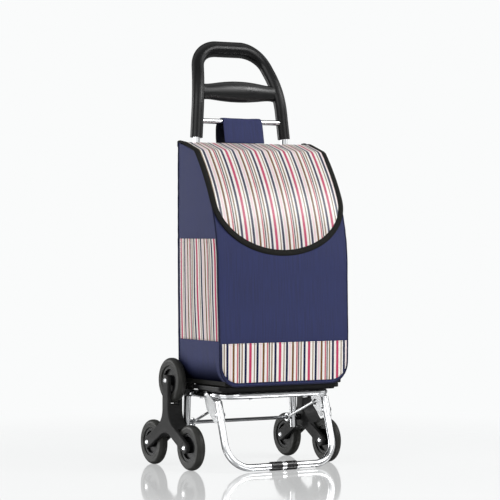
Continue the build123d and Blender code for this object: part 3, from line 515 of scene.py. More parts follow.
def only(piece):
    """Select one piece and make it active."""
    bpy.ops.object.select_all(action="DESELECT")
    piece.select_set(True)
    bpy.context.view_layer.objects.active = piece


def finish_with(piece, kind, **settings):
    """Add a modifier to a piece and apply it."""
    only(piece)
    made = piece.modifiers.new(kind.lower(), kind)
    for name, value in settings.items():
        setattr(made, name, value)
    bpy.ops.object.modifier_apply(modifier=made.name)


def smoothed(piece):
    """Subdivide a piece once and smooth it."""
    finish_with(piece, "SUBSURF", levels=1, render_levels=1)
    bpy.ops.object.shade_smooth()


def new_piece(name, build, weld=0.00002):
    """Make a mesh piece from a function that fills a bmesh."""
    bm = bmesh.new()
    layer = bm.loops.layers.uv.new(CLOTH_MAP)
    build(bm, layer)
    bmesh.ops.remove_doubles(bm, verts=bm.verts, dist=weld)
    bmesh.ops.recalc_face_normals(bm, faces=bm.faces)
    mesh = bpy.data.meshes.new(name)
    bm.to_mesh(mesh)
    bm.free()
    piece = bpy.data.objects.new(name, mesh)
    bpy.context.collection.objects.link(piece)
    return piece


def add_panel(bm, layer, rows):
    """Add a grid of faces; each place of a row is a point and its place on the flat cloth."""
    corners = [[(bm.verts.new(point), flat) for point, flat in row] for row in rows]
    for low, high in zip(corners, corners[1:]):
        for a, b, c, d in zip(low, low[1:], high[1:], high):
            face = bm.faces.new([corner[0] for corner in (a, b, c, d)])
            for loop, corner in zip(face.loops, (a, b, c, d)):
                loop[layer].uv = corner[1]


def sewn_sheet(name, rows, way, thickness, offset):
    """A thin cloth piece made from its rows, with its faces turned one way."""
    piece = new_piece(name, lambda bm, layer: add_panel(bm, layer, rows))
    if sum(face.normal.dot(Vector(way)) for face in piece.data.polygons) < 0:
        only(piece)
        bpy.ops.object.mode_set(mode="EDIT")
        bpy.ops.mesh.select_all(action="SELECT")
        bpy.ops.mesh.flip_normals()
        bpy.ops.object.mode_set(mode="OBJECT")
    finish_with(piece, "SOLIDIFY", thickness=thickness, offset=offset)
    bpy.ops.object.shade_smooth()
    return piece


def add_rings(bm, loops):
    """Skin a run of loops of points into one closed form."""
    rings = [[bm.verts.new(point) for point in loop] for loop in loops]
    for low, high in zip(rings, rings[1:]):
        for k in range(len(low)):
            bm.faces.new((low[k], low[k - 1], high[k - 1], high[k]))
    bm.faces.new(rings[0])
    bm.faces.new(reversed(rings[-1]))


def paint(piece, material):
    """Give a piece one material."""
    piece.data.materials.clear()
    piece.data.materials.append(material)


def sewn_on(piece, body, material):
    """Finish a cloth piece: its material, the body it rides on and a mesh of its own."""
    paint(piece, material)
    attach(piece, body)
    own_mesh(piece)


class Trace:
    """A line in the plane X = 0 that is read by the distance along it."""

    def __init__(self, points):
        self.points = points
        self.marks = [0.0]
        for (y0, z0), (y1, z1) in zip(points, points[1:]):
            self.marks.append(self.marks[-1] + hypot(y1 - y0, z1 - z0))
        self.total = self.marks[-1]

    def at(self, distance):
        """Y, Z and the outward normal's Y and Z at a distance."""
        distance = min(max(distance, 0.0), self.total)
        index = 0
        while index < len(self.marks) - 2 and self.marks[index + 1] < distance:
            index += 1
        share = (distance - self.marks[index]) / (self.marks[index + 1] - self.marks[index])
        tangent = self.slope(index, share)
        (y0, z0), (y1, z1) = self.points[index : index + 2]
        return y0 + (y1 - y0) * share, z0 + (z1 - z0) * share, -tangent[1], tangent[0]

    def slope(self, index, share):
        """Tangent that turns evenly from one stretch to the next."""
        def run(i):
            i = min(max(i, 0), len(self.points) - 2)
            (y0, z0), (y1, z1) = self.points[i : i + 2]
            size = hypot(y1 - y0, z1 - z0)
            return (y1 - y0) / size, (z1 - z0) / size

        other, weight = (index + 1, share - 0.5) if share > 0.5 else (index - 1, 0.5 - share)
        near, far = run(index), run(other)
        y, z = (near[k] * (1 - weight) + far[k] * weight for k in (0, 1))
        return y / hypot(y, z), z / hypot(y, z)

    def distance_at_height(self, height):
        """First distance at which the line reaches a height."""
        for index, ((_, z0), (_, z1)) in enumerate(zip(self.points, self.points[1:])):
            if z0 <= height <= z1:
                return self.marks[index] + (self.marks[index + 1] - self.marks[index]) * (height - z0) / (z1 - z0)
        return self.total


def between(first, last, count):
    """Evenly spaced numbers, both ends included."""
    return [first + (last - first) * step / count for step in range(count + 1)]


def rounded(first, corner, last, reach, steps):
    """A bend that leaves two runs at a reach from their corner."""
    def toward(end):
        size = hypot(end[0] - corner[0], end[1] - corner[1])
        return tuple(corner[k] + (end[k] - corner[k]) * reach / size for k in (0, 1))

    start, end = toward(first), toward(last)
    points = []
    for share in between(0, 1, steps):
        weights = ((1 - share) ** 2, 2 * share * (1 - share), share**2)
        points.append(tuple(sum(w * p[k] for w, p in zip(weights, (start, corner, end))) for k in (0, 1)))
    return points


def half_width(z):
    """Half the bag's width at a height."""
    bag = bpy.context.scene.trolley_bag
    rise = z - BAG_LOW.z
    if rise < bag.corner:
        return bag.foot_half - bag.corner + sqrt(max(bag.corner**2 - (bag.corner - rise) ** 2, 0))
    low, middle, high = BAG_LOW.z + bag.corner, (BAG_LOW.z + BAG_HIGH.z) / 2, BAG_HIGH.z
    return (
        bag.foot_half * (z - middle) * (z - high) / ((low - middle) * (low - high))
        + bag.middle_half * (z - low) * (z - high) / ((middle - low) * (middle - high))
        + bag.top_half * (z - low) * (z - middle) / ((high - low) * (high - middle))
    )


def belly(z):
    """How far the filled lower front sags forward at a height."""
    bag = bpy.context.scene.trolley_bag
    share = min(max((bag.shoulder - z) / (bag.shoulder - bag.full), 0), 1)
    return bag.sag * share**2 * (3 - 2 * share)


TRACE_STEPS = 24
BROW_STEPS = 10


def front_trace():
    """The bag's outline from the foot of its front, over the brow, to the top's back edge."""
    bag = bpy.context.scene.trolley_bag
    front, back = BAG_LOW.y, BAG_HIGH.y
    brow = (back - bag.top_depth, BAG_HIGH.z - bag.top_fall)
    lean, climb = brow[0] - front, brow[1] - bag.shoulder
    radius = (lean**2 + climb**2) / (2 * lean)
    sweep = atan2(climb, radius - lean)
    turn = pi / 2 - sweep - atan2(bag.top_fall, bag.top_depth)
    reach = bag.brow * tan(turn / 2)
    arc = [
        (front + radius * (1 - cos(angle)), bag.shoulder + radius * sin(angle))
        for angle in between(0, sweep - reach / radius, TRACE_STEPS)
    ]
    bend = rounded(arc[-1], brow, (back, BAG_HIGH.z), reach, BROW_STEPS)
    wall = [(front - belly(z), z) for z in between(BAG_LOW.z, bag.shoulder, TRACE_STEPS)]
    return Trace(wall + arc[1:] + bend[1:] + [(back, BAG_HIGH.z)])


SIDES = {"left": -1, "right": 1}
PUCKER_DEPTH = 0.0008
PUCKER_REACH = 0.030
PUCKER_PITCH = 75
PANEL_COLUMNS = 44
CORNER_ROWS = 9
WALL_ROWS = 44
BROW_ROWS = 8
DEPTH_COLUMNS = 18
SIDE_TOP = 0.75
SIDE_SWELL = 0.35
LEDGE_STEPS = (0.0, 0.0045, 0.009)
LEDGE_INSET = 0.0005
SEWN_GROUP = "sewn"
SETTLE_CAP = 0.004
SETTLE_WEIGHT = 0.6
SETTLE_CLOTH = {
    "quality": 6,
    "mass": 0.15,
    "tension_stiffness": 40,
    "compression_stiffness": 40,
    "shear_stiffness": 15,
    "bending_stiffness": 6,
    "vertex_group_mass": SEWN_GROUP,
    "use_pressure": True,
    "uniform_pressure_force": 0.35,
}
SIDE_REACH = 0.003
FRONT_REACH = 0.004
BACK_REACH = 0.0015
TRIM_MARGIN = 0.012
# Black pieces under the bag's lower corners: how many corner places they follow, their inset, rise and gap.
FILL_PLACES = 4
FILL_INSET = 0.002
FILL_RISE = 0.001
FILL_GAP = 0.0002
SKIRT_NEAR = 0.1440
SKIRT_FAR = 0.1475
SKIRT_FOOT = 0.1735
SKIRT_FRONT = -0.0110


def corner_places():
    """X and Z round a lower corner of the bag, from its foot to its side."""
    bag = bpy.context.scene.trolley_bag
    return [
        (bag.foot_half - bag.corner + bag.corner * sin(turn), BAG_LOW.z + bag.corner * (1 - cos(turn)))
        for turn in between(0, pi / 2, CORNER_ROWS)
    ]


def pucker(distance, along, seed):
    """Small gathers that die away from a seam."""
    fade = max(1 - distance / PUCKER_REACH, 0) ** 2
    return PUCKER_DEPTH * fade * noise(Vector((along * PUCKER_PITCH, seed, 0.0)))


def crown(u, v):
    """Fullness of a panel between its seams, from 0 at its edges to 1."""
    return max(1 - abs(u) ** 2.4, 0) * max(1 - abs(v) ** 2.6, 0)


class BagForm:
    """The rows of the bag's panels, each place with its place on the flat cloth."""

    def __init__(self):
        self.bag = bpy.context.scene.trolley_bag
        self.trace = front_trace()
        self.across = between(-1, 1, PANEL_COLUMNS)
        self.depths = between(0, 1, DEPTH_COLUMNS)
        self.corners = corner_places()
        low = self.trace.distance_at_height(BAG_LOW.z + self.bag.corner)
        top = self.trace.total - hypot(self.bag.top_depth, self.bag.top_fall) * SIDE_TOP
        self.mouth = self.trace.distance_at_height(self.bag.mouth)
        self.distances = between(low, self.mouth, WALL_ROWS)[1:] + between(self.mouth, top, BROW_ROWS)[1:]
        self.heights = between(BAG_LOW.z + self.bag.corner, BAG_HIGH.z, len(self.distances))[1:]

    def panels(self):
        """Every panel, the two sides last."""
        sides = [self.side(sign) for sign in SIDES.values()]
        return [self.front(), self.back(), self.floor(), self.ledge(), *sides]

    def front(self):
        """The front, from its foot to the mouth."""
        rows = [[((a * x, BAG_LOW.y - belly(z), z), (a * x, z)) for a in self.across] for x, z in self.corners]
        for distance in self.distances[:WALL_ROWS]:
            y, z, ny, nz = self.trace.at(distance)
            width, rise = half_width(z), 2 * (distance / self.mouth) - 1
            row = []
            for a in self.across:
                out = self.bag.swell * crown(a, rise) + pucker(width * (1 - abs(a)), distance, 1.0)
                row.append(((a * width, y + ny * out, z + nz * out), (a * width, BAG_LOW.z + distance)))
            rows.append(row)
        return rows

    def back(self):
        """The flat back."""
        places = self.corners + [(half_width(z), z) for z in self.heights]
        return [[((a * x, BAG_HIGH.y, z), (a * x, z)) for a in self.across] for x, z in places]

    def side(self, sign):
        """A side, between the front and the back."""
        rows = []
        for x, z in self.corners:
            reach = BAG_LOW.y - belly(z) - BAG_HIGH.y
            ys = [BAG_HIGH.y + reach * (1 - t) for t in self.depths]
            rows.append([((sign * x, y, z), (y, z)) for y in ys])
        for distance, height in zip(self.distances, self.heights):
            y0, z0, _, _ = self.trace.at(distance)
            row = []
            for t in self.depths:
                y, z = y0 + (BAG_HIGH.y - y0) * t, z0 + (height - z0) * t
                rise = 2 * (z - BAG_LOW.z) / (BAG_HIGH.z - BAG_LOW.z) - 1
                edge = (BAG_HIGH.y - y0) * min(t, 1 - t)
                out = SIDE_SWELL * self.bag.swell * crown(2 * t - 1, rise) + pucker(edge, z, 2.0 + sign)
                row.append(((sign * (half_width(z) + out), y, z), (y, z)))
            rows.append(row)
        return rows

    def floor(self):
        """The flat floor."""
        reach = BAG_LOW.y - self.bag.sag - BAG_HIGH.y
        half = self.corners[0][0]
        ys = [(t, BAG_HIGH.y + reach * (1 - t)) for t in self.depths]
        return [[((a * half, y, BAG_LOW.z), (a, t)) for a in self.across] for t, y in ys]

    def ledge(self):
        """The narrow strip of the top behind the flap."""
        width = half_width(BAG_HIGH.z) - LEDGE_INSET
        rows = []
        for step in LEDGE_STEPS:
            y, z = BAG_HIGH.y - step, BAG_HIGH.z - step * self.bag.top_fall / self.bag.top_depth
            rows.append([((a * width, y, z), (a * width, step)) for a in self.across])
        return rows


def settle(piece, frames):
    """Let the free cloth of a piece settle under its own weight and a little filling."""
    start = [vertex.co.copy() for vertex in piece.data.vertices]
    only(piece)
    cloth = piece.modifiers.new("settle", "CLOTH")
    for name, value in SETTLE_CLOTH.items():
        setattr(cloth.settings, name, value)
    cloth.settings.effector_weights.gravity = SETTLE_WEIGHT
    cloth.collision_settings.use_collision = False
    cloth.point_cache.frame_start = 1
    cloth.point_cache.frame_end = frames
    for number in range(1, frames + 1):
        bpy.context.scene.frame_set(number)
    bpy.ops.object.modifier_apply(modifier=cloth.name)
    bpy.context.scene.frame_set(1)
    for vertex, home in zip(piece.data.vertices, start):
        move = vertex.co - home
        if move.length > SETTLE_CAP:
            vertex.co = home + move.normalized() * SETTLE_CAP


def pin_seams(piece):
    """Hold the bag where it is sewn, carried or covered: its seams, mouth, foot and top, and under its trims."""
    bag = bpy.context.scene.trolley_bag
    trace = front_trace()
    held = []
    for vertex in piece.data.vertices:
        x, y, z = vertex.co
        wall = half_width(z)
        front = trace.at(trace.distance_at_height(min(z, BAG_HIGH.z - bag.top_fall)))[0]
        at_side = abs(abs(x) - wall) < SIDE_REACH
        at_front, at_back = y < front + FRONT_REACH, y > BAG_HIGH.y - BACK_REACH
        at_end = z < BAG_LOW.z + bag.corner or z > bag.mouth - FRONT_REACH
        in_pocket = at_side and POCKET_LOW.z - TRIM_MARGIN < z < POCKET_HIGH.z + TRIM_MARGIN
        in_trim = at_front and not BAND_TOP + TRIM_MARGIN < z < FLAP_FOOT - TRIM_MARGIN
        if at_end or at_back or in_pocket or in_trim or (at_side and at_front):
            held.append(vertex.index)
    piece.vertex_groups.new(name=SEWN_GROUP).add(held, 1.0, "REPLACE")


def tube(name, lines, radius):
    """A round cord along smooth lines, made into one mesh."""
    data = bpy.data.curves.new(name, "CURVE")
    data.dimensions = "3D"
    data.bevel_depth = radius
    data.bevel_resolution = 2
    data.use_fill_caps = True
    for line in lines:
        spline = data.splines.new("NURBS")
        spline.points.add(len(line) - 1)
        for point, place in zip(spline.points, line):
            point.co = (*place, 1)
        spline.order_u = 3
        spline.use_endpoint_u = True
        spline.resolution_u = 2
    piece = bpy.data.objects.new(name, data)
    bpy.context.collection.objects.link(piece)
    only(piece)
    bpy.ops.object.convert(target="MESH")
    bpy.ops.object.shade_smooth()
    return piece


PIPING_SINK = 0.5
PIPING_FOOT = 12
STITCH_SHAPE = ((-0.5, 0.22, 0.6), (-0.3, 0.5, 0.0), (0.3, 0.5, 0.0), (0.5, 0.22, 0.6))


def stitch_row(bm, places, trim):
    """Lay stitches along a row of places, each a point and the way its cloth faces."""
    marks = [0.0]
    for (start, _), (end, _) in zip(places, places[1:]):
        marks.append(marks[-1] + (end - start).length)
    index, reach = 0, trim.stitch_step / 2
    while reach + trim.stitch / 2 < marks[-1]:
        while marks[index + 1] < reach:
            index += 1
        (start, face), (end, _) = places[index], places[index + 1]
        run = (end - start).normalized()
        middle = start + run * (reach - marks[index]) + face * trim.thread * 0.3
        side = face.cross(run).normalized()
        ways = ((side, 1.3), (face, 1.0), (side, -1.3), (face, -1.0))
        loops = []
        for share, thick, sunk in STITCH_SHAPE:
            size = trim.thread * thick
            centre = middle + run * trim.stitch * share - face * trim.thread * sunk
            loops.append([centre + way * size * scale for way, scale in ways])
        add_rings(bm, loops)
        reach += trim.stitch_step


def stitches(name, rows, body, material):
    """One piece with all the stitches of some rows."""
    trim = bpy.context.scene.trolley_trim
    piece = new_piece(name, lambda bm, layer: [stitch_row(bm, row, trim) for row in rows], weld=0.000001)
    only(piece)
    bpy.ops.object.shade_smooth()
    sewn_on(piece, body, material)
    return piece


class TROLLEY_OT_bag(bpy.types.Operator):
    """Sew the bag: its panels and the piping along its seams"""

    bl_idname = "trolley.bag"
    bl_label = "Sew Bag"

    def execute(self, context):
        bag = context.scene.trolley_bag
        navy = navy_cloth()
        panels = BagForm().panels()
        piece = new_piece("bag_cloth", lambda bm, layer: [add_panel(bm, layer, rows) for rows in panels])
        pin_seams(piece)
        settle(piece, context.scene.trolley_stage.settling)
        piece.vertex_groups.clear()
        finish_with(piece, "SOLIDIFY", thickness=bag.wall, offset=-1.0)
        smoothed(piece)
        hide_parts("bag_body")
        sewn_on(piece, "rear_frame", navy)
        self.pipe_seams(context, panels)
        self.fill_base_corners(context)
        return {"FINISHED"}

    def pipe_seams(self, context, panels):
        """Run piping round the front panel and round the back panel."""
        bag = context.scene.trolley_bag
        cord = ribbed_tape("seam_piping", context.scene.trolley_cloth.piping, pitch=0.0016, sheen=0.1)
        sides = panels[-2:]
        inset = bag.piping * PIPING_SINK
        lines = []
        for column, pull, out in ((0, 1, -inset), (-1, -1, 0.2 * inset)):
            half = [Vector(row[column][0]) for row in sides[1]]
            half = [Vector((p.x + out, p.y + pull * inset, max(p.z, BAG_LOW.z + inset))) for p in half]
            foot = [Vector((x, half[0].y, half[0].z)) for x in between(-half[0].x, half[0].x, PIPING_FOOT)[1:-1]]
            lines.append([Vector((-p.x, p.y, p.z)) for p in reversed(half)] + foot + half)
        sewn_on(tube("seam_piping", lines, bag.piping), "rear_frame", cord)

    def fill_base_corners(self, context):
        """Put black pieces under the rounded lower edges of the sides, with a black skirt behind the tray."""
        bag = context.scene.trolley_bag
        # Black pieces fill the space under the rounded lower corners of the sides, down to the bag's floor.
        inside = [(x - FILL_INSET, z + FILL_RISE) for x, z in corner_places()[: FILL_PLACES + 1]]
        (x, z), fill_floor = inside[-1], BAG_LOW.z + FILL_GAP
        edge = x + FILL_INSET
        outline = [*inside, (edge, z), (edge, fill_floor + FILL_INSET), (x, fill_floor), (inside[0][0], fill_floor)]
        skirt = [(SKIRT_NEAR, SKIRT_FOOT), (SKIRT_NEAR, fill_floor), (SKIRT_FAR, fill_floor), (SKIRT_FAR, SKIRT_FOOT)]
        runs = (
            (outline, between(BAG_LOW.y - bag.sag + 0.004, BAG_HIGH.y - 0.001, 8)),
            (skirt, between(SKIRT_FRONT, BAG_HIGH.y - 0.002, 2)),
        )

        def build(bm, layer):
            for sign in SIDES.values():
                for shape, places in runs:
                    add_rings(bm, [[(sign * x, y, z) for x, z in shape] for y in places])

        piece = new_piece("black_base_fill", build)
        black = ribbed_tape("black_base_fill", context.scene.trolley_cloth.tape, pitch=0.002, sheen=0.0)
        sewn_on(piece, "rear_frame", black)


FLAP_COLUMNS = 64
FLAP_ROWS = 60
TAPE_WRAP = 0.0019
FLAP_BACK = 0.0095
FLAP_SAG = 0.0008
FLAP_RIPPLE = 0.00035
FLAP_CURL = 0.0012
LEDGE_LIFT = 0.0016
LEDGE_FALL = 0.012


class FlapForm:
    """Where the flap's cloth lies, by a share across it and a share from its sewn edge to its rounded foot."""

    def __init__(self):
        self.flap = bpy.context.scene.trolley_flap
        self.bag = bpy.context.scene.trolley_bag
        self.trace = front_trace()
        self.start = self.trace.total - FLAP_BACK
        self.curve = FLAP_FOOT + self.flap.curve_rise
        self.drop = self.flap.curve_rise - TAPE_WRAP
        self.columns = [sin(turn) for turn in between(-pi / 2, pi / 2, FLAP_COLUMNS)]

    def place(self, across, down, rise=0.0):
        """A point of the flap, the way its cloth faces and its place on the flat cloth."""
        foot = self.trace.distance_at_height(self.curve - self.drop * sqrt(max(1 - across**2, 0)))
        distance = self.start + (foot - self.start) * down
        y, z, ny, nz = self.trace.at(distance)
        width = half_width(z) + self.flap.overhang
        sag = FLAP_SAG * crown(across, 2 * (distance - foot) / (self.start - foot) - 1)
        ripple = FLAP_RIPPLE * noise(Vector((across * 4.0, distance * 14, 3.0))) * down
        puff = self.flap.puff * min(down / 0.04, 1) * max(1 - down / 0.45, 0)
        out = self.flap.lift + rise + puff + sag + ripple + FLAP_CURL * down**6
        point = Vector((across * width, y + ny * out, z + nz * out))
        return point, Vector((0, ny, nz)), (across * width, self.start - distance)

    def edge(self):
        """Places round the bound edge, from one end of the sewn edge to the other."""
        rows = between(0, 1, FLAP_ROWS)
        foot = [(across, 1) for across in self.columns]
        return [(-1, down) for down in rows[:-1]] + foot + [(1, down) for down in rows[-2::-1]]


def bound_edge(name, lines, middle):
    """Tape folded over some edges, and where the stitches through it run."""
    flap = bpy.context.scene.trolley_flap
    half, rise, wide = flap.thickness / 2, flap.tape_rise, flap.tape
    section = (
        (wide, half - 0.0003),
        (wide, half + rise * 0.9),
        (wide * 0.82, half + rise * 0.6),
        (wide * 0.62, half + rise * 1.6),
        (wide * 0.35, half + rise * 1.9),
        (wide * 0.10, half + rise * 1.3),
        (-TAPE_WRAP * 0.6, half + rise * 0.3),
        (-TAPE_WRAP, -half * 0.5),
        (-TAPE_WRAP * 0.6, -half - 0.0007),
        (wide * 0.3, -half - 0.0005),
        (wide, -half - 0.0004),
        (wide, -half + 0.0004),
    )
    sweeps, seams = [], []
    for line in lines:
        loops, seam = [], []
        for index, (point, face) in enumerate(line):
            before, after = line[max(index - 1, 0)][0], line[min(index + 1, len(line) - 1)][0]
            run = (after - before).normalized()
            inward = face.cross(run).normalized()
            if inward.dot(middle - point) < 0:
                inward.negate()
            out = run.cross(inward).normalized()
            out *= 1 if out.dot(face) > 0 else -1
            loops.append([point + inward * b + out * n for b, n in section])
            seam.append((point + inward * (wide * 0.82) + out * (half + rise * 0.75), out))
        sweeps.append(loops)
        seams.append(seam)

    def build(bm, layer):
        for loops in sweeps:
            add_rings(bm, loops)

    piece = new_piece(name, build)
    smoothed(piece)
    return piece, seams


class TROLLEY_OT_flap(bpy.types.Operator):
    """Make the striped flap, the black tape that binds it and the stitches through the tape"""

    bl_idname = "trolley.flap"
    bl_label = "Make Flap"

    def execute(self, context):
        form = FlapForm()
        flap = context.scene.trolley_flap
        stripes = striped_cloth("striped_flap", context.scene.trolley_stripes.flap_start, fade=0.24, coat=0.60)
        rows = []
        for down in between(0, 1, FLAP_ROWS):
            placed = [form.place(across, down, flap.thickness) for across in form.columns]
            rows.append([(point, flat) for point, _, flat in placed])
        cloth = sewn_sheet("flap_cloth", rows, (0, -1, 1), flap.thickness, offset=-1.0)
        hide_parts("flap_panel")
        sewn_on(cloth, "flap", stripes)
        tape, seam = self.bind(context, form)
        return {"FINISHED"}

    def bind(self, context, form):
        """Fold tape over the edge and stitch it down, and finish the corners behind the sewn edge."""
        flap = context.scene.trolley_flap
        middle = Vector((0, BAG_LOW.y * 0.5, form.curve + 0.05))
        hang = [form.place(across, down, flap.thickness / 2)[:2] for across, down in form.edge()]
        black = ribbed_tape("flap_tape", context.scene.trolley_cloth.tape, pitch=0.0013, sheen=0.0)
        tape, seam = bound_edge("flap_tape", [hang], middle)
        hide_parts("flap_binding")
        sewn_on(tape, "flap", black)
        corners, _ = bound_edge("corner_tape", self.ledge_edges(form), middle)
        sewn_on(corners, "rear_frame", black)
        return tape, stitches("flap_stitches", seam, "flap", black)

    @staticmethod
    def ledge_edges(form):
        """Places along the two short edges of the top behind the flap, then a little way down the back."""
        lines = []
        for sign in SIDES.values():
            x = sign * (half_width(BAG_HIGH.z) + 0.0005)
            line = []
            for step in between(-0.002, FLAP_BACK - 0.0015, 3):
                y, z, ny, nz = form.trace.at(form.start + step)
                line.append((Vector((x, y + ny * LEDGE_LIFT, z + nz * LEDGE_LIFT)), Vector((0, ny, nz))))
            for turn in between(0, pi / 2, 4):
                face = Vector((0, sin(turn), cos(turn)))
                line.append((Vector((x, BAG_HIGH.y, BAG_HIGH.z)) + face * LEDGE_LIFT, face))
            for fall in between(0, LEDGE_FALL, 3)[1:]:
                line.append((Vector((x, BAG_HIGH.y + LEDGE_LIFT, BAG_HIGH.z - fall)), Vector((0, 1, 0))))
            lines.append(line)
        return lines


POCKET_WIDE, POCKET_TALL = POCKET_HIGH.y - POCKET_LOW.y, POCKET_HIGH.z - POCKET_LOW.z
POCKET_COLUMNS = 40
POCKET_ROWS = 36
POCKET_FRONT = 0.0030
POCKET_BACK = 0.0060
POCKET_EASE = 1.06
POCKET_BULGE = 0.0012
POCKET_FOLD = 0.0011
POCKET_SLIP = 0.0030
SEAM_PLACES = 50
TRIM_LIFT = 0.0006


class PocketForm:
    """Where a pocket's cloth lies, by a share from front to back and a share from its foot to its hem."""

    def __init__(self, sign):
        self.sign = sign
        self.trim = bpy.context.scene.trolley_trim
        self.trace = front_trace()

    def place(self, depth, up, lift=TRIM_LIFT):
        """A point of the pocket and its place on the flat cloth."""
        z = POCKET_LOW.z + POCKET_TALL * up
        front = self.trace.at(self.trace.distance_at_height(z))[0] + POCKET_FRONT
        back = POCKET_HIGH.y - POCKET_BACK
        y = front + (back - front) * depth
        flat = POCKET_LOW.y + (back - POCKET_LOW.y) * POCKET_EASE * depth
        full = crown(2 * depth - 1, 0.0)
        fold = POCKET_FOLD * noise(Vector((depth * 7.0 + self.sign, up * 1.4, 5.0))) * full
        out = lift + self.trim.gape * full * up**1.5 + POCKET_BULGE * full * sin(pi * up) + fold
        slip = POCKET_SLIP * noise(Vector((depth * 2.2, up * 1.1, 9.0))) * full
        return Vector((self.sign * (half_width(z) + out), y, z)), (-flat + slip, z)

    def seams(self):
        """Rows of stitches along the hem, the sides and the foot of the pocket."""
        face = Vector((self.sign, 0, 0))
        lift = TRIM_LIFT + self.trim.cloth
        hem = 1 - self.trim.hem / POCKET_TALL
        edge, near = 0.25 * self.trim.hem / POCKET_TALL, 0.25 * self.trim.hem / POCKET_WIDE
        routes = [[(depth, up) for depth in between(near, 1 - near, SEAM_PLACES)] for up in (hem, edge)]
        routes += [[(depth, up) for up in between(edge, 1 - edge, SEAM_PLACES)] for depth in (near, 1 - near)]
        return [[(self.place(depth, up, lift)[0], face) for depth, up in route] for route in routes]


class TROLLEY_OT_pockets(bpy.types.Operator):
    """Sew the two striped side pockets with their stitched upper hems"""

    bl_idname = "trolley.pockets"
    bl_label = "Sew Pockets"

    def execute(self, context):
        trim = context.scene.trolley_trim
        stripes = striped_cloth("striped_pocket", context.scene.trolley_stripes.pocket_start, fade=0.21)
        thread = ribbed_tape("pale_thread", context.scene.trolley_cloth.thread, pitch=0.0006, sheen=0.2)
        for side, sign in SIDES.items():
            form = PocketForm(sign)
            depths, rises = between(0, 1, POCKET_COLUMNS), between(0, 1, POCKET_ROWS)
            rows = [[form.place(depth, up) for depth in depths] for up in rises]
            cloth = sewn_sheet(f"pocket_cloth_{side}", rows, (sign, 0, 0), trim.cloth, offset=1.0)
            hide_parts(f"side_pocket_{side}")
            sewn_on(cloth, "rear_frame", stripes)
            sewing = stitches(f"pocket_stitches_{side}", form.seams(), "rear_frame", thread)
        return {"FINISHED"}


BAND_SIDE = 0.0055
BAND_FOOT = 0.0085
BAND_LIFT = 0.0010
BAND_SEAM = 0.985


class TROLLEY_OT_band(bpy.types.Operator):
    """Sew the striped band along the foot of the bag's front"""

    bl_idname = "trolley.band"
    bl_label = "Sew Band"

    def execute(self, context):
        trim = context.scene.trolley_trim
        stripes = striped_cloth("striped_band", context.scene.trolley_stripes.band_start, fade=0.02)
        columns = between(-1, 1, PANEL_COLUMNS)
        rows = [[self.place(across, z) for across in columns] for z in self.heights()]
        cloth = sewn_sheet("band_cloth", rows, (0, -1, 0), trim.cloth, offset=1.0)
        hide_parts("front_band")
        sewn_on(cloth, "rear_frame", stripes)
        thread = ribbed_tape("navy_thread", context.scene.trolley_cloth.piping, pitch=0.0006, sheen=0.2)
        face = Vector((0, -1, 0))
        top = BAND_TOP - 0.3 * trim.hem
        columns = between(-BAND_SEAM, BAND_SEAM, 80)
        row = [(self.place(across, top)[0] + face * trim.cloth, face) for across in columns]
        sewing = stitches("band_stitches", [row], "rear_frame", thread)
        return {"FINISHED"}

    @staticmethod
    def heights():
        """Heights of the band's rows, closer together round its lower corners."""
        bag = bpy.context.scene.trolley_bag
        low, bend = BAG_LOW.z + BAND_FOOT, BAG_LOW.z + bag.corner
        corner = [low + (bend - low) * (1 - cos(turn)) for turn in between(0, pi / 2, 14)]
        return corner + between(bend, BAND_TOP, 10)[1:]

    @staticmethod
    def place(across, z):
        """A point of the band and its place on the flat cloth."""
        bag = bpy.context.scene.trolley_bag
        tall, wide = bag.corner - BAND_FOOT, bag.corner - BAND_SIDE
        width = half_width(z) - BAND_SIDE
        fall = (BAG_LOW.z + bag.corner - z) / tall
        if fall > 0:
            width = bag.foot_half - bag.corner + wide * sqrt(max(1 - fall**2, 0))
        rise = 2 * (z - BAG_LOW.z) / (bag.mouth - BAG_LOW.z) - 1
        out = TRIM_LIFT + bag.swell * crown(across * 0.97, rise) + BAND_LIFT
        return Vector((across * width, BAG_LOW.y - belly(z) - out, z)), (across * width, z)


STRAP_COLUMNS = 22
STRAP_ROWS = 90
STRAP_INSET = 0.0070
STRAP_BENDS = (0.0061, 0.0061, 0.0070, 0.016, 0.012)
STRAP_SLACK = 0.0012
STRAP_GATHER = 0.045
SEAT_GAP = 0.0004
# The painted shadow on the strap's back run starts this far past the top of the bar.
PAINTED_SHADOW_AFTER = 0.012


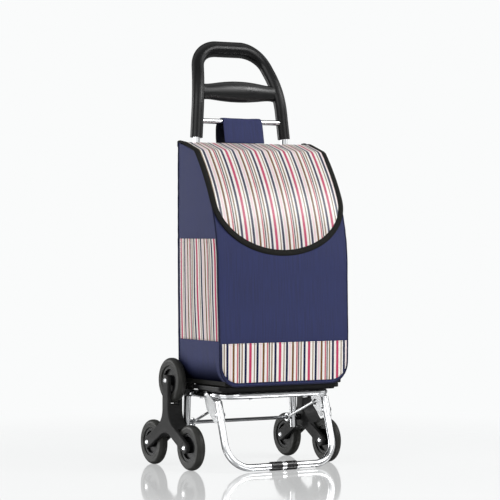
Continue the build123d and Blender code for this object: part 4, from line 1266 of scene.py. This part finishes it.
class TROLLEY_OT_strap(bpy.types.Operator):
    """Sew the wide strap that carries the bag over the hanger bar"""

    bl_idname = "trolley.strap"
    bl_label = "Sew Strap"

    def execute(self, context):
        trim = context.scene.trolley_trim
        trace = self.line(trim)
        wide = STRAP_HIGH.x
        columns, distances = between(-1, 1, STRAP_COLUMNS), between(0, trace.total, STRAP_ROWS)
        rows = [[self.place(trace, distance, across, wide) for across in columns] for distance in distances]
        cloth = new_piece("strap_cloth", lambda bm, layer: add_panel(bm, layer, rows))
        finish_with(cloth, "SOLIDIFY", thickness=trim.strap, offset=0.0)
        smoothed(cloth)
        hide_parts("hanger_strap")
        # The strap's back run behind the bar gets painted shadow.
        over_bar = trace.distance_at_height(BAR_HIGH.z) + PAINTED_SHADOW_AFTER
        paint(cloth, navy_cloth("strap_painted_shadow", over_bar))
        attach(cloth, "rear_frame")
        return {"FINISHED"}

    @staticmethod
    def line(trim):
        """The strap's line from the bag's top edge, over the bar and down the bag's back."""
        bar_y, bar_z = (BAR_LOW.y + BAR_HIGH.y) / 2, (BAR_LOW.z + BAR_HIGH.z) / 2
        over = (BAR_HIGH.z - BAR_LOW.z) / 2 + trim.strap / 2 + SEAT_GAP
        front = BAG_HIGH.y - STRAP_INSET
        behind = BAG_HIGH.y + trim.strap / 2 + SEAT_GAP
        slack = STRAP_HIGH.y - trim.strap / 2 - SEAT_GAP
        corners = [
            (front, BAG_HIGH.z + 0.0006),
            (bar_y - over, bar_z + over),
            (bar_y + over + 0.004, bar_z + over),
            (slack, bar_z - 0.009),
            (slack, BAG_HIGH.z + 0.002),
            (behind, BAG_HIGH.z - 0.047),
            (behind, STRAP_LOW.z),
        ]
        points = [corners[0]]
        for first, corner, last, reach in zip(corners, corners[1:], corners[2:], STRAP_BENDS):
            points += rounded(first, corner, last, reach, 8)
        return Trace([*points, corners[-1]])

    @staticmethod
    def place(trace, distance, across, wide):
        """A point of the strap and its place on the flat cloth."""
        y, z, ny, nz = trace.at(distance)
        slack = STRAP_SLACK * noise(Vector((across * 1.5, distance * 22, 7.0))) * (1 - across**4)
        gather = 1 - STRAP_GATHER * max(1 - abs(z - BAR_HIGH.z) / 0.018, 0) ** 2
        return Vector((across * wide * gather, y + ny * slack, z + nz * slack)), (across * wide, distance)


CHROME_NODES = ("upright_left", "upright_right", "hanger_bar", "platform_tube", "front_leg_tube")
BRIGHT_NODES = ("frame_rivets", "leg_rivets", "wheel_pins_left", "wheel_pins_right", "foot_clip")
STEEL_NODES = (
    "axle_push_nuts",
    "leg_bracket_left",
    "leg_bracket_right",
    "brace_link_left",
    "brace_link_right",
    "tray_screws",
)
DULL_NODES = ("axle", "hinge_bracket_left", "hinge_bracket_right")


def dress(names, material):
    """Give CAD nodes a better material."""
    for name in names:
        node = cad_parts[name]
        node.data.materials.clear()
        node.data.materials.append(material)


class TROLLEY_OT_metal(bpy.types.Operator):
    """Plate the tubes, brackets, links, rivets and pins"""

    bl_idname = "trolley.metal"
    bl_label = "Plate Metal"

    def execute(self, context):
        looks = context.scene.trolley_hard
        dress(CHROME_NODES, plated("chrome_tube", looks.chrome, rough=0.05, brushed=0.0))
        dress(BRIGHT_NODES, plated("bright_heads", looks.chrome, rough=0.10, brushed=0.02))
        dress(STEEL_NODES, plated("plated_steel", looks.steel, rough=0.12, brushed=0.05))
        dress(DULL_NODES, plated("axle_rod", looks.rod, rough=0.24, brushed=0.06))
        return {"FINISHED"}


class TROLLEY_OT_handle(bpy.types.Operator):
    """Finish the moulded handle and its cross grip"""

    bl_idname = "trolley.handle"
    bl_label = "Finish Handle"

    def execute(self, context):
        looks = context.scene.trolley_hard
        loop = moulded("black_grip", looks.grip, rough=0.27, grains=900, depth=0.00005, shine=0.22)
        cross = moulded("cross_grip", looks.grip, rough=0.30, grains=900, depth=0.00005, shine=0.42)
        dress(("handle_loop",), loop)
        dress(("cross_grip",), cross)
        return {"FINISHED"}


class TROLLEY_OT_wheels(bpy.types.Operator):
    """Finish the carriers, wheels, tyres, tray and foot sleeves"""

    bl_idname = "trolley.wheels"
    bl_label = "Finish Wheels"

    def execute(self, context):
        looks = context.scene.trolley_hard
        plastic = moulded("black_plastic", looks.plastic, rough=0.34, grains=700, depth=0.00010, shine=0.20)
        carrier = moulded("carrier_plastic", looks.carrier, rough=0.40, grains=700, depth=0.00010, shine=0.10)
        tyre = moulded("tyre_black", looks.tyre, rough=0.34, grains=320, depth=0.00014, shine=0.14)
        rubber = moulded("foot_rubber", looks.rubber, rough=0.30, grains=420, depth=0.00012, shine=0.45)
        names = list(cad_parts)
        dress([n for n in names if n.startswith("carrier_")], carrier)
        dress([n for n in names if n.startswith("wheel_core_")], plastic)
        dress(("platform_tray", "axle_spacers"), plastic)
        dress([n for n in names if n.startswith("tyre_")], tyre)
        dress(("foot_sleeve_left", "foot_sleeve_right"), rubber)
        return {"FINISHED"}


FLOOR_SIZE = 60
FLOOR_ROUGHNESS = 0.06
SENSOR_WIDTH = 36
LAMP_TARGET = (0, 0, 0.45)
LAMPS = (
    ("left_softbox", (-3.0, -1.2, 1.9), 2.2, 36),
    ("front_softbox", (0.6, -3.6, 2.0), 2.0, 35),
    ("right_softbox", (2.8, -0.6, 1.6), 1.6, 10),
    ("top_softbox", (1.48, -1.72, 1.96), 0.8, 26),
    ("rim_softbox", (-2.0, 2.6, 0.9), 1.6, 44),
)
DARK_EDGE = (0.44, 0.60, 0.88, 0.97)
DARK_STREAK = (-0.52, -0.38, -0.18, -0.04)


class TROLLEY_OT_stage(bpy.types.Operator):
    """Set up the pale floor, the soft light and the camera"""

    bl_idname = "trolley.stage"
    bl_label = "Set Stage"

    def execute(self, context):
        looks = context.scene.trolley_stage
        context.scene.view_settings.view_transform = "Standard"
        self.floor(looks)
        self.world(context, looks)
        for name, place, size, power in LAMPS:
            self.lamp(name, place, size, power)
        self.camera(context, looks)
        return {"FINISHED"}

    @staticmethod
    def floor(looks):
        """A wide pale floor that mirrors faintly."""
        bpy.ops.object.select_all(action="DESELECT")
        bpy.ops.mesh.primitive_plane_add(size=FLOOR_SIZE, location=(0, 0, 0))
        floor = bpy.context.active_object
        floor.name = "floor"
        finish = Finish("pale_floor")
        x, y, _ = finish.parts(finish.place())
        far = ((x * x + y * y) ** 0.5).smooth(looks.near, looks.far)
        camera = finish.node("ShaderNodeLightPath", out="Is Camera Ray")
        bounce = finish.mix(scaled(looks.floor, looks.bounce), looks.floor, camera)
        matt = finish.node("ShaderNodeBsdfDiffuse", sockets={"Color": bounce})
        # Painted shade: the floor's glow is dimmer near the trolley.
        shade = finish.mix(scaled(looks.floor, looks.near_shade), looks.floor, far)
        glow = finish.node("ShaderNodeEmission", sockets={"Color": shade, "Strength": 1.0})
        base = finish.blended(matt, glow, camera * (looks.glow + far * (1 - looks.glow)))
        sockets = {"Color": (1, 1, 1, 1), "Roughness": FLOOR_ROUGHNESS}
        gloss = finish.node("ShaderNodeBsdfAnisotropic", sockets=sockets)
        both = finish.blended(base, gloss, (1 - far) * looks.mirror)
        floor.data.materials.append(finish.done(both))

    @staticmethod
    def world(context, looks):
        """An even pale surround, with dark edges that only the bright metal sees."""
        context.scene.world = bpy.data.worlds.new("pale_room")
        finish = Finish("pale_room", context.scene.world)
        way = finish.node("ShaderNodeTexCoord", out="Generated")
        paths = finish.node("ShaderNodeLightPath").socket.node.outputs
        camera, glossy, through = (
            Wire(finish, paths[name]) for name in ("Is Camera Ray", "Is Glossy Ray", "Is Transmission Ray")
        )
        ahead = (-sin(looks.turn), cos(looks.turn), 0.0)
        lean = finish.node("ShaderNodeVectorMath", {"operation": "DOT_PRODUCT"}, {0: way, 1: ahead}, out="Value")
        shine = 1.0 - lean.within(*DARK_EDGE) * 0.88 - lean.within(*DARK_STREAK) * 0.70
        seen = camera.larger(through)
        light = looks.ambient + glossy * (shine - looks.ambient) * (1 - seen) + seen * (1 - looks.ambient)
        background = finish.node("ShaderNodeBackground", sockets={"Color": (*looks.floor, 1), "Strength": light})
        finish.node("ShaderNodeOutputWorld", sockets={"Surface": background})

    @staticmethod
    def lamp(name, place, size, power):
        """A square softbox that points at the middle of the trolley."""
        data = bpy.data.lights.new(name, "AREA")
        data.size = size
        data.energy = power
        made = bpy.data.objects.new(name, data)
        made.location = place
        made.rotation_euler = (Vector(LAMP_TARGET) - Vector(place)).to_track_quat("-Z", "Y").to_euler()
        bpy.context.collection.objects.link(made)

    @staticmethod
    def camera(context, looks):
        """A long lens at the photograph's angle."""
        data = bpy.data.cameras.new("camera")
        data.lens = looks.lens
        data.sensor_width = SENSOR_WIDTH
        made = bpy.data.objects.new("camera", data)
        made.location = looks.place
        made.rotation_euler = (pi / 2 + looks.tilt, 0, looks.turn)
        context.collection.objects.link(made)
        context.scene.camera = made


class TROLLEY_PT_panel(bpy.types.Panel):
    """The trolley's pieces, in the order in which they are made"""

    bl_idname = "TROLLEY_PT_panel"
    bl_label = "Shopping Trolley"
    bl_space_type = "VIEW_3D"
    bl_region_type = "UI"
    bl_category = "Trolley"

    def draw(self, context):
        for operator in OPERATORS:
            self.layout.operator(operator.bl_idname)
        for name, group in GROUPS.items():
            box = self.layout.box()
            box.label(text=group.__doc__)
            for key in group.__annotations__:
                box.prop(getattr(context.scene, name), key)


OPERATORS = (
    TROLLEY_OT_stage,
    TROLLEY_OT_metal,
    TROLLEY_OT_handle,
    TROLLEY_OT_wheels,
    TROLLEY_OT_bag,
    TROLLEY_OT_flap,
    TROLLEY_OT_pockets,
    TROLLEY_OT_band,
    TROLLEY_OT_strap,
)
CLASSES = (*GROUPS.values(), *OPERATORS, TROLLEY_PT_panel)


def register():
    for made in CLASSES:
        bpy.utils.register_class(made)
    for name, group in GROUPS.items():
        setattr(bpy.types.Scene, name, PointerProperty(type=group))


def unregister():
    for name in GROUPS:
        delattr(bpy.types.Scene, name)
    for made in reversed(CLASSES):
        bpy.utils.unregister_class(made)


def main():
    """Make every piece in order."""
    register()
    bpy.ops.trolley.stage()
    bpy.ops.trolley.metal()
    bpy.ops.trolley.handle()
    bpy.ops.trolley.wheels()
    bpy.ops.trolley.bag()
    bpy.ops.trolley.flap()
    bpy.ops.trolley.pockets()
    bpy.ops.trolley.band()
    bpy.ops.trolley.strap()


if __name__ == "__main__":
    main()
